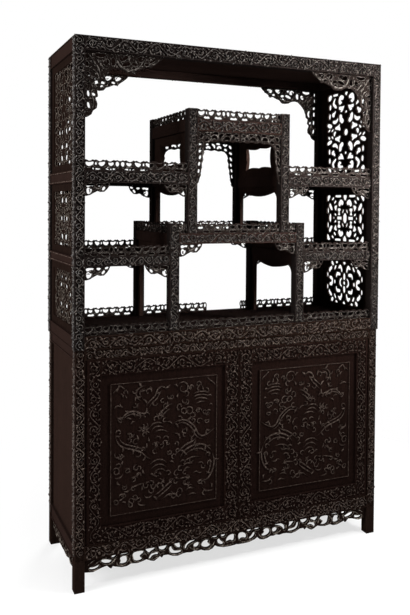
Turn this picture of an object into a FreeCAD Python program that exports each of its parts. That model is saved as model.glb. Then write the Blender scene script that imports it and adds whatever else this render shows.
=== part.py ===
import FreeCAD, Part
import math
import os
import re

# Carved hardwood display cabinet: an open stepped display section on a two-door cupboard.
# Millimetres. X runs along the front, the front faces -Y, Z is up, and the origin is on
# the floor under the middle of the cabinet.

os.makedirs("parts", exist_ok=True)
doc = FreeCAD.newDocument("display_cabinet")
sheet = doc.addObject("Spreadsheet::Sheet", "Sizes")

SIZES = {
    # Whole cabinet
    "overall_width": 1244,
    "overall_depth": 440,
    "overall_height": 1900,
    "post_size": 36,
    "cupboard_height": 834,
    "cupboard_inset": 4,
    # Carved faces: a sunk ground between edge beads
    "bead_width": 4.5,
    "ground_depth": 3,
    "carving_facet": 62,
    # Mortise and tenon joints
    "tenon_length": 20,
    "tenon_thickness": 12,
    "tenon_shoulder": 6,
    "panel_tongue": 6,
    "board_thickness": 16,
    # Cupboard frame
    "leg_clear": 110,
    "cupboard_bottom_rail": 48,
    "cupboard_top_rail": 36,
    "cupboard_panel_thickness": 12,
    "cupboard_panel_setback": 10,
    "cupboard_floor_drop": 2,
    "cupboard_top_drop": 3,
    "inner_shelf_level": 486,
    "inner_shelf_setback": 12,
    "bearer_width": 30,
    "bearer_height": 20,
    "apron_height": 55,
    "apron_thickness": 16,
    "apron_setback": 6,
    "apron_ribbon": 13,
    # Doors, each hung on two pivot dowels
    "door_thickness": 26,
    "door_frame_width": 55,
    "door_side_gap": 1.5,
    "door_end_gap": 1.5,
    "door_meeting_gap": 2,
    "door_panel_thickness": 9,
    "door_panel_sink": 9,
    "door_band_width": 31,
    "door_field_rise": 6,
    "door_field_bead": 6,
    "door_field_ground": 3,
    "pivot_inset": 9,
    "pivot_radius": 4,
    "pivot_grip": 18,
    "pivot_reach": 9,
    "pivot_clearance": 0.05,
    "pivot_end_play": 0.5,
    # Display section frame
    "base_rail": 46,
    "top_rail": 50,
    "top_panel_drop": 4,
    "inner_setback": 6,
    "rail_thickness": 28,
    "lower_shelf_share": 0.2983,
    "lower_shelf_rail": 35,
    "middle_shelf_share": 0.3696,
    "middle_shelf_rail": 38,
    "upper_shelf_share": 0.575,
    "upper_shelf_rail": 42,
    "tower_top_share": 0.758,
    "tower_rail": 44,
    "tower_width": 416,
    "bridge_width": 552,
    "side_panel_thickness": 14,
    "side_panel_setback": 10,
    # Openings in the boards between the tower posts and between the bridge posts
    "cartouche_length": 226,
    "cartouche_height": 98,
    "cartouche_hollow": 12,
    "arch_leg": 20,
    "arch_crown": 20,
    "arch_drop": 18,
    "arch_shoulder": 34,
    # Pierced galleries on the shelves
    "gallery_height": 37,
    "gallery_thickness": 12,
    "gallery_setback": 2,
    "gallery_ribbon": 8,
    "gallery_pitch": 72,
    "back_gallery_stub": 110,
    # Pierced corner pieces
    "top_spandrel_reach": 240,
    "top_spandrel_width": 54,
    "shelf_spandrel_length": 92,
    "shelf_spandrel_drop": 46,
    "spandrel_thickness": 12,
    "spandrel_edge": 6,
    "spandrel_ribbon": 7,
    "tower_apron_band": 36,
    "tower_apron_leg": 158,
    # Pierced frets in the side walls
    "fret_thickness": 14,
    "fret_border": 26,
    "fret_ribbon": 9.5,
    "medallion_width": 56,
    "medallion_height": 96,
    "medallion_hole_width": 16,
    "medallion_hole_height": 30,
    "slot_width": 14,
    "slot_height": 44,
}

for row, (name, number) in enumerate(SIZES.items(), start=1):
    sheet.set(f"A{row}", name)
    sheet.set(f"B{row}", str(number))
    sheet.setAlias(f"B{row}", name)
doc.recompute()

SIZE_WORD = re.compile("[a-z_]+")
NODES = []


def value(name):
    """The number that the sheet holds for a size."""
    return float(sheet.get(name))


def formula(text):
    """An expression whose size words point at the sheet."""
    return SIZE_WORD.sub(lambda found: sheet_word(found.group()), text)


def sheet_word(word):
    """A size's name with the sheet before it, or any other word as it is."""
    return "Sizes." + word if word in SIZES else word


def shelf_top(name):
    """The expression for a shelf's top: the cupboard, and a share of the height over it."""
    return f"cupboard_height + (overall_height - cupboard_height) * {name}_share"


def shelf_height(name):
    """The height of a shelf's top."""
    rise = value("overall_height") - value("cupboard_height")
    return value("cupboard_height") + rise * value(name + "_share")


def node(label, piece):
    """Note a finished sub-part under the name that its file gets."""
    piece.Label = label
    NODES.append(piece)
    return piece


def flip(span):
    """The mirror image of a span about zero."""
    low, high = span
    return f"-({high})", f"-({low})"


def on(side, span):
    """A span given for the right or back side, moved to the named side."""
    return flip(span) if side in ("left", "front") else span


def block(name, x, y, z):
    """A rectangular solid between the low and high expressions of its three spans."""
    box = doc.addObject("Part::Box", name)
    for size, axis, (low, high) in zip(("Length", "Width", "Height"), "xyz", (x, y, z)):
        box.setExpression(size, formula(f"({high}) - ({low})"))
        box.setExpression("Placement.Base." + axis, formula(low))
    return box


def rod(name, radius, x, y, z):
    """An upright cylinder; x and y are expressions and z is a span."""
    low, high = z
    cylinder = doc.addObject("Part::Cylinder", name)
    cylinder.setExpression("Radius", formula(radius))
    cylinder.setExpression("Height", formula(f"({high}) - ({low})"))
    for axis, text in zip("xyz", (x, y, low)):
        cylinder.setExpression("Placement.Base." + axis, formula(text))
    return cylinder


def group(name, pieces):
    """Separate solids kept together in one object."""
    compound = doc.addObject("Part::Compound", name)
    compound.Links = list(pieces)
    return compound


def fuse(name, *pieces):
    """One solid from overlapping or touching pieces."""
    union = doc.addObject("Part::MultiFuse", name)
    union.Shapes = list(pieces)
    union.Refine = True
    return union


def cut(name, base, *tools):
    """A piece less everything that enters it."""
    rest = doc.addObject("Part::Cut", name)
    rest.Base = base
    rest.Tool = tools[0] if len(tools) == 1 else group(name + "_tools", tools)
    rest.Refine = True
    return rest


def inset(span, amount):
    """A span drawn in by an amount at both ends."""
    low, high = span
    return f"({low}) + {amount}", f"({high}) - {amount}"


def middle(span):
    """The tenon's thickness at the middle of a span."""
    low, high = span
    return f"(({low}) + ({high}) - tenon_thickness) / 2", f"(({low}) + ({high}) + tenon_thickness) / 2"


def upper_half(span):
    """The upper half of a rail's height, less the shoulder."""
    low, high = span
    return f"(({low}) + ({high})) / 2", f"({high}) - tenon_shoulder"


def lower_half(span):
    """The lower half of a rail's height, less the shoulder."""
    low, high = span
    return f"({low}) + tenon_shoulder", f"(({low}) + ({high})) / 2"


def skin(span, face):
    """A cutter's span through the outer face of a carved side."""
    low, high = span
    if face in ("front", "left"):
        return f"({low}) - ground_depth", f"({low}) + ground_depth"
    return f"({high}) - ground_depth", f"({high}) + ground_depth"


def ground(name, face, x, y, z):
    """The cutter that sinks one face's carved ground between its edge beads."""
    if face in ("front", "back"):
        return block(name, inset(x, "bead_width"), skin(y, face), inset(z, "bead_width"))
    return block(name, skin(x, face), inset(y, "bead_width"), inset(z, "bead_width"))


def rail(name, along, x, y, z, carved=(), grooves=()):
    """A rail with a tenon at each end, sunk grounds and panel grooves.

    Rails along X have their tenons in the upper half and rails along Y in the lower half,
    so that two rails can enter one post at the same level.
    """
    body = block(name + "_body", x, y, z)
    if along == "x":
        tenon = block(name + "_tenon", inset(x, "-tenon_length"), middle(y), upper_half(z))
    else:
        tenon = block(name + "_tenon", middle(x), inset(y, "-tenon_length"), lower_half(z))
    solid = fuse(name + "_blank", body, tenon)
    cutters = [ground(f"{name}_{face}_ground", face, x, y, z) for face in carved]
    cutters.extend(grooves)
    if cutters:
        solid = cut(name, solid, *cutters)
    return solid, tenon


def post(name, x, y, z, carved, carved_z, entering):
    """A square post with sunk grounds and the mortises and grooves of what enters it."""
    body = block(name + "_body", x, y, z)
    cutters = [ground(f"{name}_{face}_ground", face, x, y, carved_z) for face in carved]
    return cut(name, body, *cutters, *entering)


def framed_board(name, x, y, z):
    """A board that fills a frame, with a tongue into each of the four rails."""
    along = block(name + "_along", inset(x, "-panel_tongue"), y, z)
    across = block(name + "_across", x, inset(y, "-panel_tongue"), z)
    return fuse(name, along, across)


SIDES = ("left", "right")
FACES = ("front", "back")

# Spans of the cupboard, on the right and back sides
CUP_X = ("overall_width / 2 - cupboard_inset - post_size", "overall_width / 2 - cupboard_inset")
CUP_Y = ("overall_depth / 2 - cupboard_inset - post_size", "overall_depth / 2 - cupboard_inset")
CUP_CLEAR_X = ("-(" + CUP_X[0] + ")", CUP_X[0])
CUP_CLEAR_Y = ("-(" + CUP_Y[0] + ")", CUP_Y[0])
CUP_BOTTOM_Z = ("leg_clear", "leg_clear + cupboard_bottom_rail")
CUP_TOP_Z = ("cupboard_height - cupboard_top_rail", "cupboard_height")
CUP_PANEL_Z = (CUP_BOTTOM_Z[1], CUP_TOP_Z[0])

# Spans of the display section, on the right and back sides
TOP_X = ("overall_width / 2 - post_size", "overall_width / 2")
TOP_Y = ("overall_depth / 2 - post_size", "overall_depth / 2")
TOP_CLEAR_X = ("-(" + TOP_X[0] + ")", TOP_X[0])
TOP_CLEAR_Y = ("-(" + TOP_Y[0] + ")", TOP_Y[0])
BASE_Z = ("cupboard_height", "cupboard_height + base_rail")
CROWN_Z = ("overall_height - top_rail", "overall_height")
LOWER_Z = (shelf_top("lower_shelf") + " - lower_shelf_rail", shelf_top("lower_shelf"))
MIDDLE_Z = (shelf_top("middle_shelf") + " - middle_shelf_rail", shelf_top("middle_shelf"))
UPPER_Z = (shelf_top("upper_shelf") + " - upper_shelf_rail", shelf_top("upper_shelf"))
TOWER_Z = (shelf_top("tower_top") + " - tower_rail", shelf_top("tower_top"))
END_X = ("overall_width / 2 - rail_thickness", "overall_width / 2")
INNER_Y = ("overall_depth / 2 - inner_setback - rail_thickness", "overall_depth / 2 - inner_setback")
INNER_CLEAR_Y = ("-(" + INNER_Y[0] + ")", INNER_Y[0])
INNER_POST_Y = ("overall_depth / 2 - inner_setback - post_size", "overall_depth / 2 - inner_setback")
INNER_POST_CLEAR_Y = ("-(" + INNER_POST_Y[0] + ")", INNER_POST_Y[0])


def build_cupboard():
    """The lower cupboard: posts, rails, panels, boards and the inner shelf."""
    side_panels = {}
    for side in SIDES:
        panel_x = ("overall_width / 2 - cupboard_inset - cupboard_panel_setback - cupboard_panel_thickness",
                   "overall_width / 2 - cupboard_inset - cupboard_panel_setback")
        panel = block(f"cupboard_{side}_panel", on(side, panel_x), inset(CUP_CLEAR_Y, "-panel_tongue"),
                      inset(CUP_PANEL_Z, "-panel_tongue"))
        side_panels[side] = node(f"cupboard_{side}_panel", panel)
    back_y = ("overall_depth / 2 - cupboard_inset - cupboard_panel_setback - cupboard_panel_thickness",
              "overall_depth / 2 - cupboard_inset - cupboard_panel_setback")
    back_panel = node("cupboard_back_panel", block("cupboard_back_panel", inset(CUP_CLEAR_X, "-panel_tongue"),
                                                   back_y, inset(CUP_PANEL_Z, "-panel_tongue")))
    floor_top = CUP_BOTTOM_Z[1] + " - cupboard_floor_drop"
    floor = node("cupboard_floor", framed_board("cupboard_floor", CUP_CLEAR_X, CUP_CLEAR_Y,
                                                (floor_top + " - board_thickness", floor_top)))
    lid_top = "cupboard_height - cupboard_top_drop"
    lid = node("cupboard_top_board", framed_board("cupboard_top_board", CUP_CLEAR_X, CUP_CLEAR_Y,
                                                  (lid_top + " - board_thickness", lid_top)))
    sockets = build_pivot_sockets()
    tenons = {key: [] for key in SIDES + FACES}
    back_rails = []
    side_rails = []
    for level, z, board in (("top", CUP_TOP_Z, lid), ("bottom", CUP_BOTTOM_Z, floor)):
        front, tenon = rail(f"cupboard_{level}_front_rail", "x", CUP_CLEAR_X, flip(CUP_Y), z,
                            carved=("front",), grooves=[board] + sockets[level])
        node(f"cupboard_{level}_front_rail", front)
        tenons["front"].append(tenon)
        back, tenon = rail(f"cupboard_{level}_back_rail", "x", CUP_CLEAR_X, CUP_Y, z,
                           grooves=[board, back_panel])
        back_rails.append(back)
        tenons["back"].append(tenon)
        for side in SIDES:
            piece, tenon = rail(f"cupboard_{level}_{side}_rail", "y", on(side, CUP_X), CUP_CLEAR_Y, z,
                                carved=(side,), grooves=[board, side_panels[side]])
            side_rails.append(piece)
            tenons[side].append(tenon)
    node("cupboard_frame_rails", group("cupboard_frame_rails", back_rails + side_rails))
    for face in FACES:
        for side in SIDES:
            entering = tenons[face] + tenons[side] + [side_panels[side]]
            carved = [side]
            if face == "front":
                carved.append("front")
            else:
                entering.append(back_panel)
            name = f"cupboard_{face}_{side}_post"
            carved_z = ("leg_clear - bead_width", "cupboard_height")
            node(name, post(name, on(side, CUP_X), on(face, CUP_Y), ("0", "cupboard_height"),
                            carved, carved_z, entering))
    shelf_z = ("inner_shelf_level - board_thickness", "inner_shelf_level")
    shelf_y = (CUP_CLEAR_Y[0] + " + inner_shelf_setback", CUP_CLEAR_Y[1])
    node("inner_shelf", block("inner_shelf", CUP_CLEAR_X, shelf_y, shelf_z))
    bearer_x = ("overall_width / 2 - cupboard_inset - cupboard_panel_setback - cupboard_panel_thickness"
                " - bearer_width",
                "overall_width / 2 - cupboard_inset - cupboard_panel_setback - cupboard_panel_thickness")
    bearer_z = (shelf_z[0] + " - bearer_height", shelf_z[0])
    bearers = [block(f"{side}_bearer", on(side, bearer_x), CUP_CLEAR_Y, bearer_z) for side in SIDES]
    node("inner_shelf_bearers", group("inner_shelf_bearers", bearers))


# Spans of the right-hand door; the left one is its mirror image
DOOR_X = ("door_meeting_gap / 2", CUP_X[0] + " - door_side_gap")
DOOR_Y = ("-(overall_depth / 2 - cupboard_inset)", "-(overall_depth / 2 - cupboard_inset) + door_thickness")
DOOR_Z = (CUP_PANEL_Z[0] + " + door_end_gap", CUP_PANEL_Z[1] + " - door_end_gap")
PIVOT_X = DOOR_X[1] + " - pivot_inset"
PIVOT_Y = DOOR_Y[0] + " + pivot_inset"


def pivot_place(side):
    """The pivot axis of one door, as expressions of x and y."""
    return (PIVOT_X if side == "right" else f"-({PIVOT_X})"), PIVOT_Y


def build_pivot_sockets():
    """The blind sockets that the pivot dowels turn in, by rail."""
    spans = {"top": (CUP_TOP_Z[0] + " - 1", CUP_TOP_Z[0] + " + pivot_reach + pivot_end_play"),
             "bottom": (CUP_BOTTOM_Z[1] + " - pivot_reach", CUP_BOTTOM_Z[1] + " + 1")}
    sockets = {}
    for level, z in spans.items():
        radius = "pivot_radius + pivot_clearance"
        sockets[level] = [rod(f"{side}_{level}_socket", radius, *pivot_place(side), z)
                          for side in SIDES]
    return sockets


def build_door(side):
    """One framed door with its raised panel and its two pivot dowels."""
    name = f"{side}_door"
    inner_x = (DOOR_X[0] + " + door_frame_width", DOOR_X[1] + " - door_frame_width")
    inner_z = inset(DOOR_Z, "door_frame_width")
    panel_y = (DOOR_Y[0] + " + door_panel_sink", DOOR_Y[0] + " + door_panel_sink + door_panel_thickness")
    field_y = (panel_y[0] + " - door_field_rise", panel_y[0])
    field_x = inset(inner_x, "door_band_width")
    field_z = inset(inner_z, "door_band_width")
    board = block(name + "_board", on(side, inset(inner_x, "-panel_tongue")), panel_y,
                  inset(inner_z, "-panel_tongue"))
    field = block(name + "_field", on(side, field_x), field_y, field_z)
    sunk_y = (field_y[0] + " - 1", field_y[0] + " + door_field_ground")
    sunk = block(name + "_field_ground", on(side, inset(field_x, "door_field_bead")), sunk_y,
                 inset(field_z, "door_field_bead"))
    panel = cut(name + "_panel", fuse(name + "_panel_blank", board, field), sunk)
    node(name + "_panel", panel)

    rails = []
    tenons = []
    levels = {"top": (inner_z[1], DOOR_Z[1]), "bottom": (DOOR_Z[0], inner_z[0])}
    for level, z in levels.items():
        piece, tenon = rail(f"{name}_{level}_rail", "x", on(side, inner_x), DOOR_Y, z,
                            carved=("front",), grooves=[board])
        rails.append(piece)
        tenons.append(tenon)
    node(name + "_rails", group(name + "_rails", rails))

    meeting_x = on(side, (DOOR_X[0], inner_x[0]))
    meeting = cut(name + "_meeting_stile", block(name + "_meeting_body", meeting_x, DOOR_Y, DOOR_Z),
                  ground(name + "_meeting_ground", "front", meeting_x, DOOR_Y, DOOR_Z), board, *tenons)
    node(name + "_meeting_stile", meeting)

    pivot_x, pivot_y = pivot_place(side)
    ends = {"top": (DOOR_Z[1] + " - pivot_grip", DOOR_Z[1] + " + door_end_gap + pivot_reach"),
            "bottom": (DOOR_Z[0] + " - door_end_gap - pivot_reach", DOOR_Z[0] + " + pivot_grip")}
    pivots = [rod(f"{name}_{level}_pivot", "pivot_radius", pivot_x, pivot_y, z) for level, z in ends.items()]
    node(name + "_pivots", group(name + "_pivots", pivots))

    # The front outer edge is rounded about the pivot, so that it clears the post as it turns
    wide = block(name + "_hinge_wide", on(side, (inner_x[1], PIVOT_X)), DOOR_Y, DOOR_Z)
    edge = block(name + "_hinge_edge", on(side, (PIVOT_X, DOOR_X[1])), (PIVOT_Y, DOOR_Y[1]), DOOR_Z)
    round_edge = rod(name + "_hinge_round", "pivot_inset", pivot_x, pivot_y, DOOR_Z)
    hinge_x = on(side, (inner_x[1], PIVOT_X))
    stile = cut(name + "_hinge_stile", fuse(name + "_hinge_body", wide, edge, round_edge),
                ground(name + "_hinge_ground", "front", hinge_x, DOOR_Y, DOOR_Z), board, *tenons, *pivots)
    node(name + "_hinge_stile", stile)


def build_display_frame():
    """The open upper section's posts, rails, floor and top."""
    floor = node("upper_floor", framed_board("upper_floor", TOP_CLEAR_X, TOP_CLEAR_Y,
                                             (BASE_Z[1] + " - board_thickness", BASE_Z[1])))
    crown_top = "overall_height - top_panel_drop"
    crown = node("top_panel", framed_board("top_panel", TOP_CLEAR_X, TOP_CLEAR_Y,
                                           (crown_top + " - board_thickness", crown_top)))
    tenons = {key: [] for key in SIDES + FACES}
    for level, z, board in (("top", CROWN_Z, crown), ("base", BASE_Z, floor)):
        others = []
        for face in FACES:
            piece, tenon = rail(f"{level}_{face}_rail", "x", TOP_CLEAR_X, on(face, TOP_Y), z,
                                carved=(face,), grooves=[board])
            tenons[face].append(tenon)
            if face == "front":
                node(f"{level}_front_rail", piece)
            else:
                others.append(piece)
        for side in SIDES:
            piece, tenon = rail(f"{level}_{side}_rail", "y", on(side, TOP_X), TOP_CLEAR_Y, z,
                                carved=(side,), grooves=[board])
            tenons[side].append(tenon)
            others.append(piece)
        node(f"{level}_rails", group(f"{level}_rails", others))
    return tenons


def build_side_shelves(tenons):
    """The two shelves at each side, with their end rails and their front and back rails."""
    end_rails = []
    shelf_rails = []
    inner_tenons = {"tower": [], "bridge": []}
    levels = (("upper", UPPER_Z, "tower"), ("lower", LOWER_Z, "bridge"))
    for side in SIDES:
        for level, z, inner in levels:
            name = f"{side}_{level}_shelf"
            board_z = (f"{z[1]} - board_thickness", z[1])
            # The board is notched round the main posts where its tongue enters the end rail
            wide = block(name + "_wide", on(side, (f"{inner}_width / 2", TOP_X[0])),
                         inset(INNER_CLEAR_Y, "-panel_tongue"), board_z)
            end_x = (TOP_X[0], END_X[0] + " + panel_tongue")
            end = block(name + "_end", on(side, end_x), TOP_CLEAR_Y, board_z)
            board = node(name, fuse(name, wide, end))
            end, tenon = rail(f"{name}_end_rail", "y", on(side, END_X), TOP_CLEAR_Y, z,
                              carved=(side,), grooves=[board])
            end_rails.append(end)
            tenons[side].append(tenon)
            rail_x = (f"{inner}_width / 2", TOP_X[0])
            for face in FACES:
                piece, tenon = rail(f"{name}_{face}_rail", "x", on(side, rail_x), on(face, INNER_Y), z,
                                    carved=(face,), grooves=[board])
                shelf_rails.append(piece)
                tenons[face].append(tenon)
                inner_tenons[inner].append(tenon)
    node("side_shelf_end_rails", group("side_shelf_end_rails", end_rails))
    node("side_shelf_rails", group("side_shelf_rails", shelf_rails))
    return inner_tenons


def build_main_posts(tenons):
    """The four tall posts of the display section, mortised for every rail that meets them."""
    posts = {}
    post_z = ("cupboard_height", "overall_height")
    for face in FACES:
        for side in SIDES:
            name = f"upper_{face}_{side}_post"
            entering = tenons[face] + tenons[side]
            posts[face, side] = node(name, post(name, on(side, TOP_X), on(face, TOP_Y), post_z,
                                                (face, side), post_z, entering))
    return posts


def build_stand(name, width, foot, top, rail_z, side_rail_z, board_name, entering):
    """A small four-post stand: its posts, top rails, shelf-level side rails and top board."""
    post_x = (f"{width} / 2 - post_size", f"{width} / 2")
    clear_x = (f"-({post_x[0]})", post_x[0])
    side_x = (f"{width} / 2 - rail_thickness", f"{width} / 2")
    frame_x = (f"-({side_x[0]})", side_x[0])
    board_z = (f"{rail_z[1]} - board_thickness", rail_z[1])
    # The board lies inside the four rails and is notched round the posts
    along = block(name + "_board_along", inset(frame_x, "-panel_tongue"), INNER_POST_CLEAR_Y, board_z)
    across = block(name + "_board_across", clear_x, inset(INNER_CLEAR_Y, "-panel_tongue"), board_z)
    board = node(board_name, fuse(board_name, along, across))
    rails = []
    tenons = list(entering)
    for face in FACES:
        piece, tenon = rail(f"{name}_{face}_rail", "x", clear_x, on(face, INNER_Y), rail_z,
                            carved=(face,), grooves=[board])
        rails.append(piece)
        tenons.append(tenon)
    for side in SIDES:
        piece, tenon = rail(f"{name}_{side}_rail", "y", on(side, side_x), INNER_POST_CLEAR_Y, rail_z,
                            grooves=[board])
        rails.append(piece)
        tenons.append(tenon)
        piece, tenon = rail(f"{name}_{side}_shelf_rail", "y", on(side, side_x), INNER_POST_CLEAR_Y,
                            side_rail_z)
        rails.append(piece)
        tenons.append(tenon)
    node(f"{name}_rails", group(f"{name}_rails", rails))
    post_z = (foot, f"{top} + gallery_height")
    posts = [post(f"{name}_{face}_{side}_post", on(side, post_x), on(face, INNER_POST_Y),
                  post_z, (face,), post_z, tenons)
             for face in FACES for side in SIDES]
    node(f"{name}_posts", group(f"{name}_posts", posts))


# Flat ornament: outlines are drawn in a plane, given their thickness and set in the cabinet
PLANES = {
    "front": FreeCAD.Rotation(FreeCAD.Vector(1, 0, 0), 90),
    "side": FreeCAD.Rotation(FreeCAD.Vector(1, 1, 1), 120),
}


def prism(points, thickness):
    """A flat solid with the given outline."""
    corners = [FreeCAD.Vector(u, v, 0) for u, v in points]
    wire = Part.makePolygon(corners + corners[:1])
    return Part.Face(wire).extrude(FreeCAD.Vector(0, 0, thickness))


def bar(u, v, thickness):
    """A flat rectangular solid between two spans."""
    return prism([(u[0], v[0]), (u[1], v[0]), (u[1], v[1]), (u[0], v[1])], thickness)


def oval(width, height, thickness, sides=12):
    """A flat oval about the origin."""
    turn = 2 * math.pi / sides
    return prism([(width / 2 * math.cos(turn * step), height / 2 * math.sin(turn * step))
                  for step in range(sides)], thickness)


def scroll(centre, radius, first, turns, ribbon, thickness):
    """A carved scroll: a ribbon that follows arcs, one after the other.

    It starts on a circle at the angle first and turns left. Each turn is (radius, degrees), and
    every arc is worked in flats of about the carving's facet angle.
    """
    left = []
    right = []
    angle = math.radians(first)
    u = centre[0] + radius * math.cos(angle)
    v = centre[1] + radius * math.sin(angle)
    heading = angle + math.pi / 2
    for size, sweep in turns:
        steps = max(1, round(sweep / value("carving_facet")))
        step = math.radians(sweep) / steps
        for count in range(steps + 1):
            side_u = math.sin(heading) * ribbon / 2
            side_v = math.cos(heading) * ribbon / 2
            if count or not left:
                left.append((u - side_u, v + side_v))
                right.append((u + side_u, v - side_v))
            if count < steps:
                chord = 2 * size * math.sin(step / 2)
                u += chord * math.cos(heading + step / 2)
                v += chord * math.sin(heading + step / 2)
                heading += step
    return prism(right + left[::-1], thickness)


def mirrored(shapes, across_u=True):
    """The mirror images of flat solids, across the u axis's or the v axis's direction."""
    normal = FreeCAD.Vector(1, 0, 0) if across_u else FreeCAD.Vector(0, 1, 0)
    return [shape.mirror(FreeCAD.Vector(), normal) for shape in shapes]


def merged(shapes):
    """One solid from flat solids that overlap."""
    union = shapes[0].multiFuse(shapes[1:]).removeSplitter()
    if len(union.Solids) != 1:
        raise ValueError(f"an ornament fell into {len(union.Solids)} pieces")
    return union.Solids[0]


def ornament(name, shape, plane, corner):
    """A flat ornament set in a plane of the cabinet, with its own origin at the corner."""
    piece = doc.addObject("Part::Feature", name)
    piece.Shape = shape
    piece.Placement = FreeCAD.Placement(FreeCAD.Vector(*corner), PLANES[plane])
    return piece


def fret_shape(width, height, medallion):
    """A pierced panel: a plain border round rows of hooked scrolls, alike in all four quarters."""
    thick = value("fret_thickness")
    ribbon = value("fret_ribbon")
    border = value("fret_border")
    half_u = width / 2 - border
    half_v = height / 2 - border
    frame = bar((-width / 2, width / 2), (-height / 2, height / 2), thick)
    frame = frame.cut(bar((-half_u, half_u), (-half_v, half_v), thick))
    radius = half_u / 4
    rows = max(1, int(half_v // (2 * radius)))
    hook = radius * 0.42
    turns = [(radius, 250), (hook, 130)]
    quarter = []
    for row in range(rows):
        row_v = half_v - radius * (1 + 2 * row)
        # The medallion takes the place of the inner scrolls beside it
        beside_medallion = medallion and row_v < value("medallion_height")
        for column in (3,) if beside_medallion else (1, 3):
            quarter.append(scroll((radius * column, row_v), radius, -20, turns, ribbon, thick))
    half = quarter + mirrored(quarter)
    pieces = [frame] + half + mirrored(half, across_u=False)
    if medallion:
        outer = (value("medallion_width"), value("medallion_height"))
        hole = (value("medallion_hole_width"), value("medallion_hole_height"))
    else:
        hole = (value("slot_width"), value("slot_height"))
        outer = (hole[0] + 2 * ribbon, hole[1] + 2 * ribbon)
    pieces.append(oval(outer[0], outer[1], thick))
    # A plain tie across holds the middle oval, and the tall medallion has one up and down as well
    tie = ribbon / 2
    pieces.append(bar((-half_u - tie, half_u + tie), (-tie, tie), thick))
    if medallion:
        pieces.append(bar((-tie, tie), (-half_v - tie, half_v + tie), thick))
    whole = merged(pieces)
    return whole.cut(oval(hole[0], hole[1], thick)).removeSplitter().Solids[0]


def build_frets(posts):
    """The six pierced panels of the two side walls, three to a side."""
    depth = 2 * posts["back", "right"].Shape.BoundBox.YMin
    levels = [
        ("lower", value("cupboard_height") + value("base_rail"),
         shelf_height("lower_shelf") - value("lower_shelf_rail")),
        ("middle", shelf_height("lower_shelf"), shelf_height("upper_shelf") - value("upper_shelf_rail")),
        ("tall", shelf_height("upper_shelf"), value("overall_height") - value("top_rail")),
    ]
    inside = (value("overall_width") - value("rail_thickness") - value("fret_thickness")) / 2
    for name, low, high in levels:
        shape = fret_shape(depth, high - low, name == "tall")
        panels = []
        for side, x in (("left", -inside - value("fret_thickness")), ("right", inside)):
            panels.append(ornament(f"{side}_{name}_fret", shape, "side", (x, 0, (low + high) / 2)))
        node(f"{name}_frets", group(f"{name}_frets", panels))


def gallery_shape(length):
    """A low pierced fence: a running wave of ribbon that stands on its own flat feet."""
    thick = value("gallery_thickness")
    height = value("gallery_height")
    ribbon = value("gallery_ribbon")
    waves = max(1, round(length / value("gallery_pitch") / 2))
    half_wave = length / waves / 2
    flat = half_wave * 0.2
    level = [0, height - ribbon]
    line = [(0, level[0]), (flat, level[0])]
    for count in range(1, 2 * waves):
        line.append((half_wave * count - flat, level[count % 2]))
        line.append((half_wave * count + flat, level[count % 2]))
    line += [(length - flat, level[0]), (length, level[0])]
    upper = [(u, v + ribbon) for u, v in line]
    return prism(upper + line[::-1], thick)


def front_gallery(name, face, low, high, level):
    """A gallery along X on the front or back of a shelf."""
    out = value("overall_depth") / 2 - value("inner_setback") - value("gallery_setback")
    y = value("gallery_thickness") - out if face == "front" else out
    return ornament(name, gallery_shape(high - low), "front", (low, y, level))


def side_gallery(name, side, half_width, half_length, level):
    """A gallery along Y on the left or right of a stand's top."""
    out = half_width - value("gallery_setback")
    x = -out if side == "left" else out - value("gallery_thickness")
    return ornament(name, gallery_shape(2 * half_length), "side", (x, -half_length, level))


def build_galleries():
    """Every low pierced fence, by the shelf that it stands on."""
    post = value("post_size")
    wall = value("overall_width") / 2 - post
    tower = value("tower_width") / 2
    bridge = value("bridge_width") / 2
    floor = value("cupboard_height") + value("base_rail")
    depth = value("overall_depth") / 2 - value("inner_setback") - post
    runs = {
        "floor": [(face, low, high, floor) for face in FACES
                  for low, high in ((-wall, -bridge), (bridge, wall))],
        "side_shelf": [(face, sign * low, sign * high, level) for face in FACES for sign in (-1, 1)
                       for low, high, level in ((bridge, wall, shelf_height("lower_shelf")),
                                                (tower, wall, shelf_height("upper_shelf")))],
        "middle_shelf": [(face, low, high, shelf_height("middle_shelf")) for face in FACES
                         for low, high in ((post - bridge, -tower), (post - tower, tower - post),
                                           (tower, bridge - post))],
        "tower": [(face, post - tower, tower - post, shelf_height("tower_top")) for face in FACES],
    }
    stub = value("back_gallery_stub")
    runs["floor"] += [("front", post - bridge, bridge - post, floor),
                      ("back", post - bridge, post - bridge + stub, floor),
                      ("back", bridge - post - stub, bridge - post, floor)]
    stands = {"middle_shelf": (bridge, shelf_height("middle_shelf")),
              "tower": (tower, shelf_height("tower_top"))}
    for name, spans in runs.items():
        pieces = []
        for count, (face, start, end, level) in enumerate(spans):
            low, high = sorted((start, end))
            pieces.append(front_gallery(f"{name}_{face}_gallery_{count}", face, low, high, level))
        if name in stands:
            half_width, level = stands[name]
            for side in SIDES:
                pieces.append(side_gallery(f"{name}_{side}_gallery", side, half_width, depth, level))
        node(f"{name}_galleries", group(f"{name}_galleries", pieces))


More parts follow.
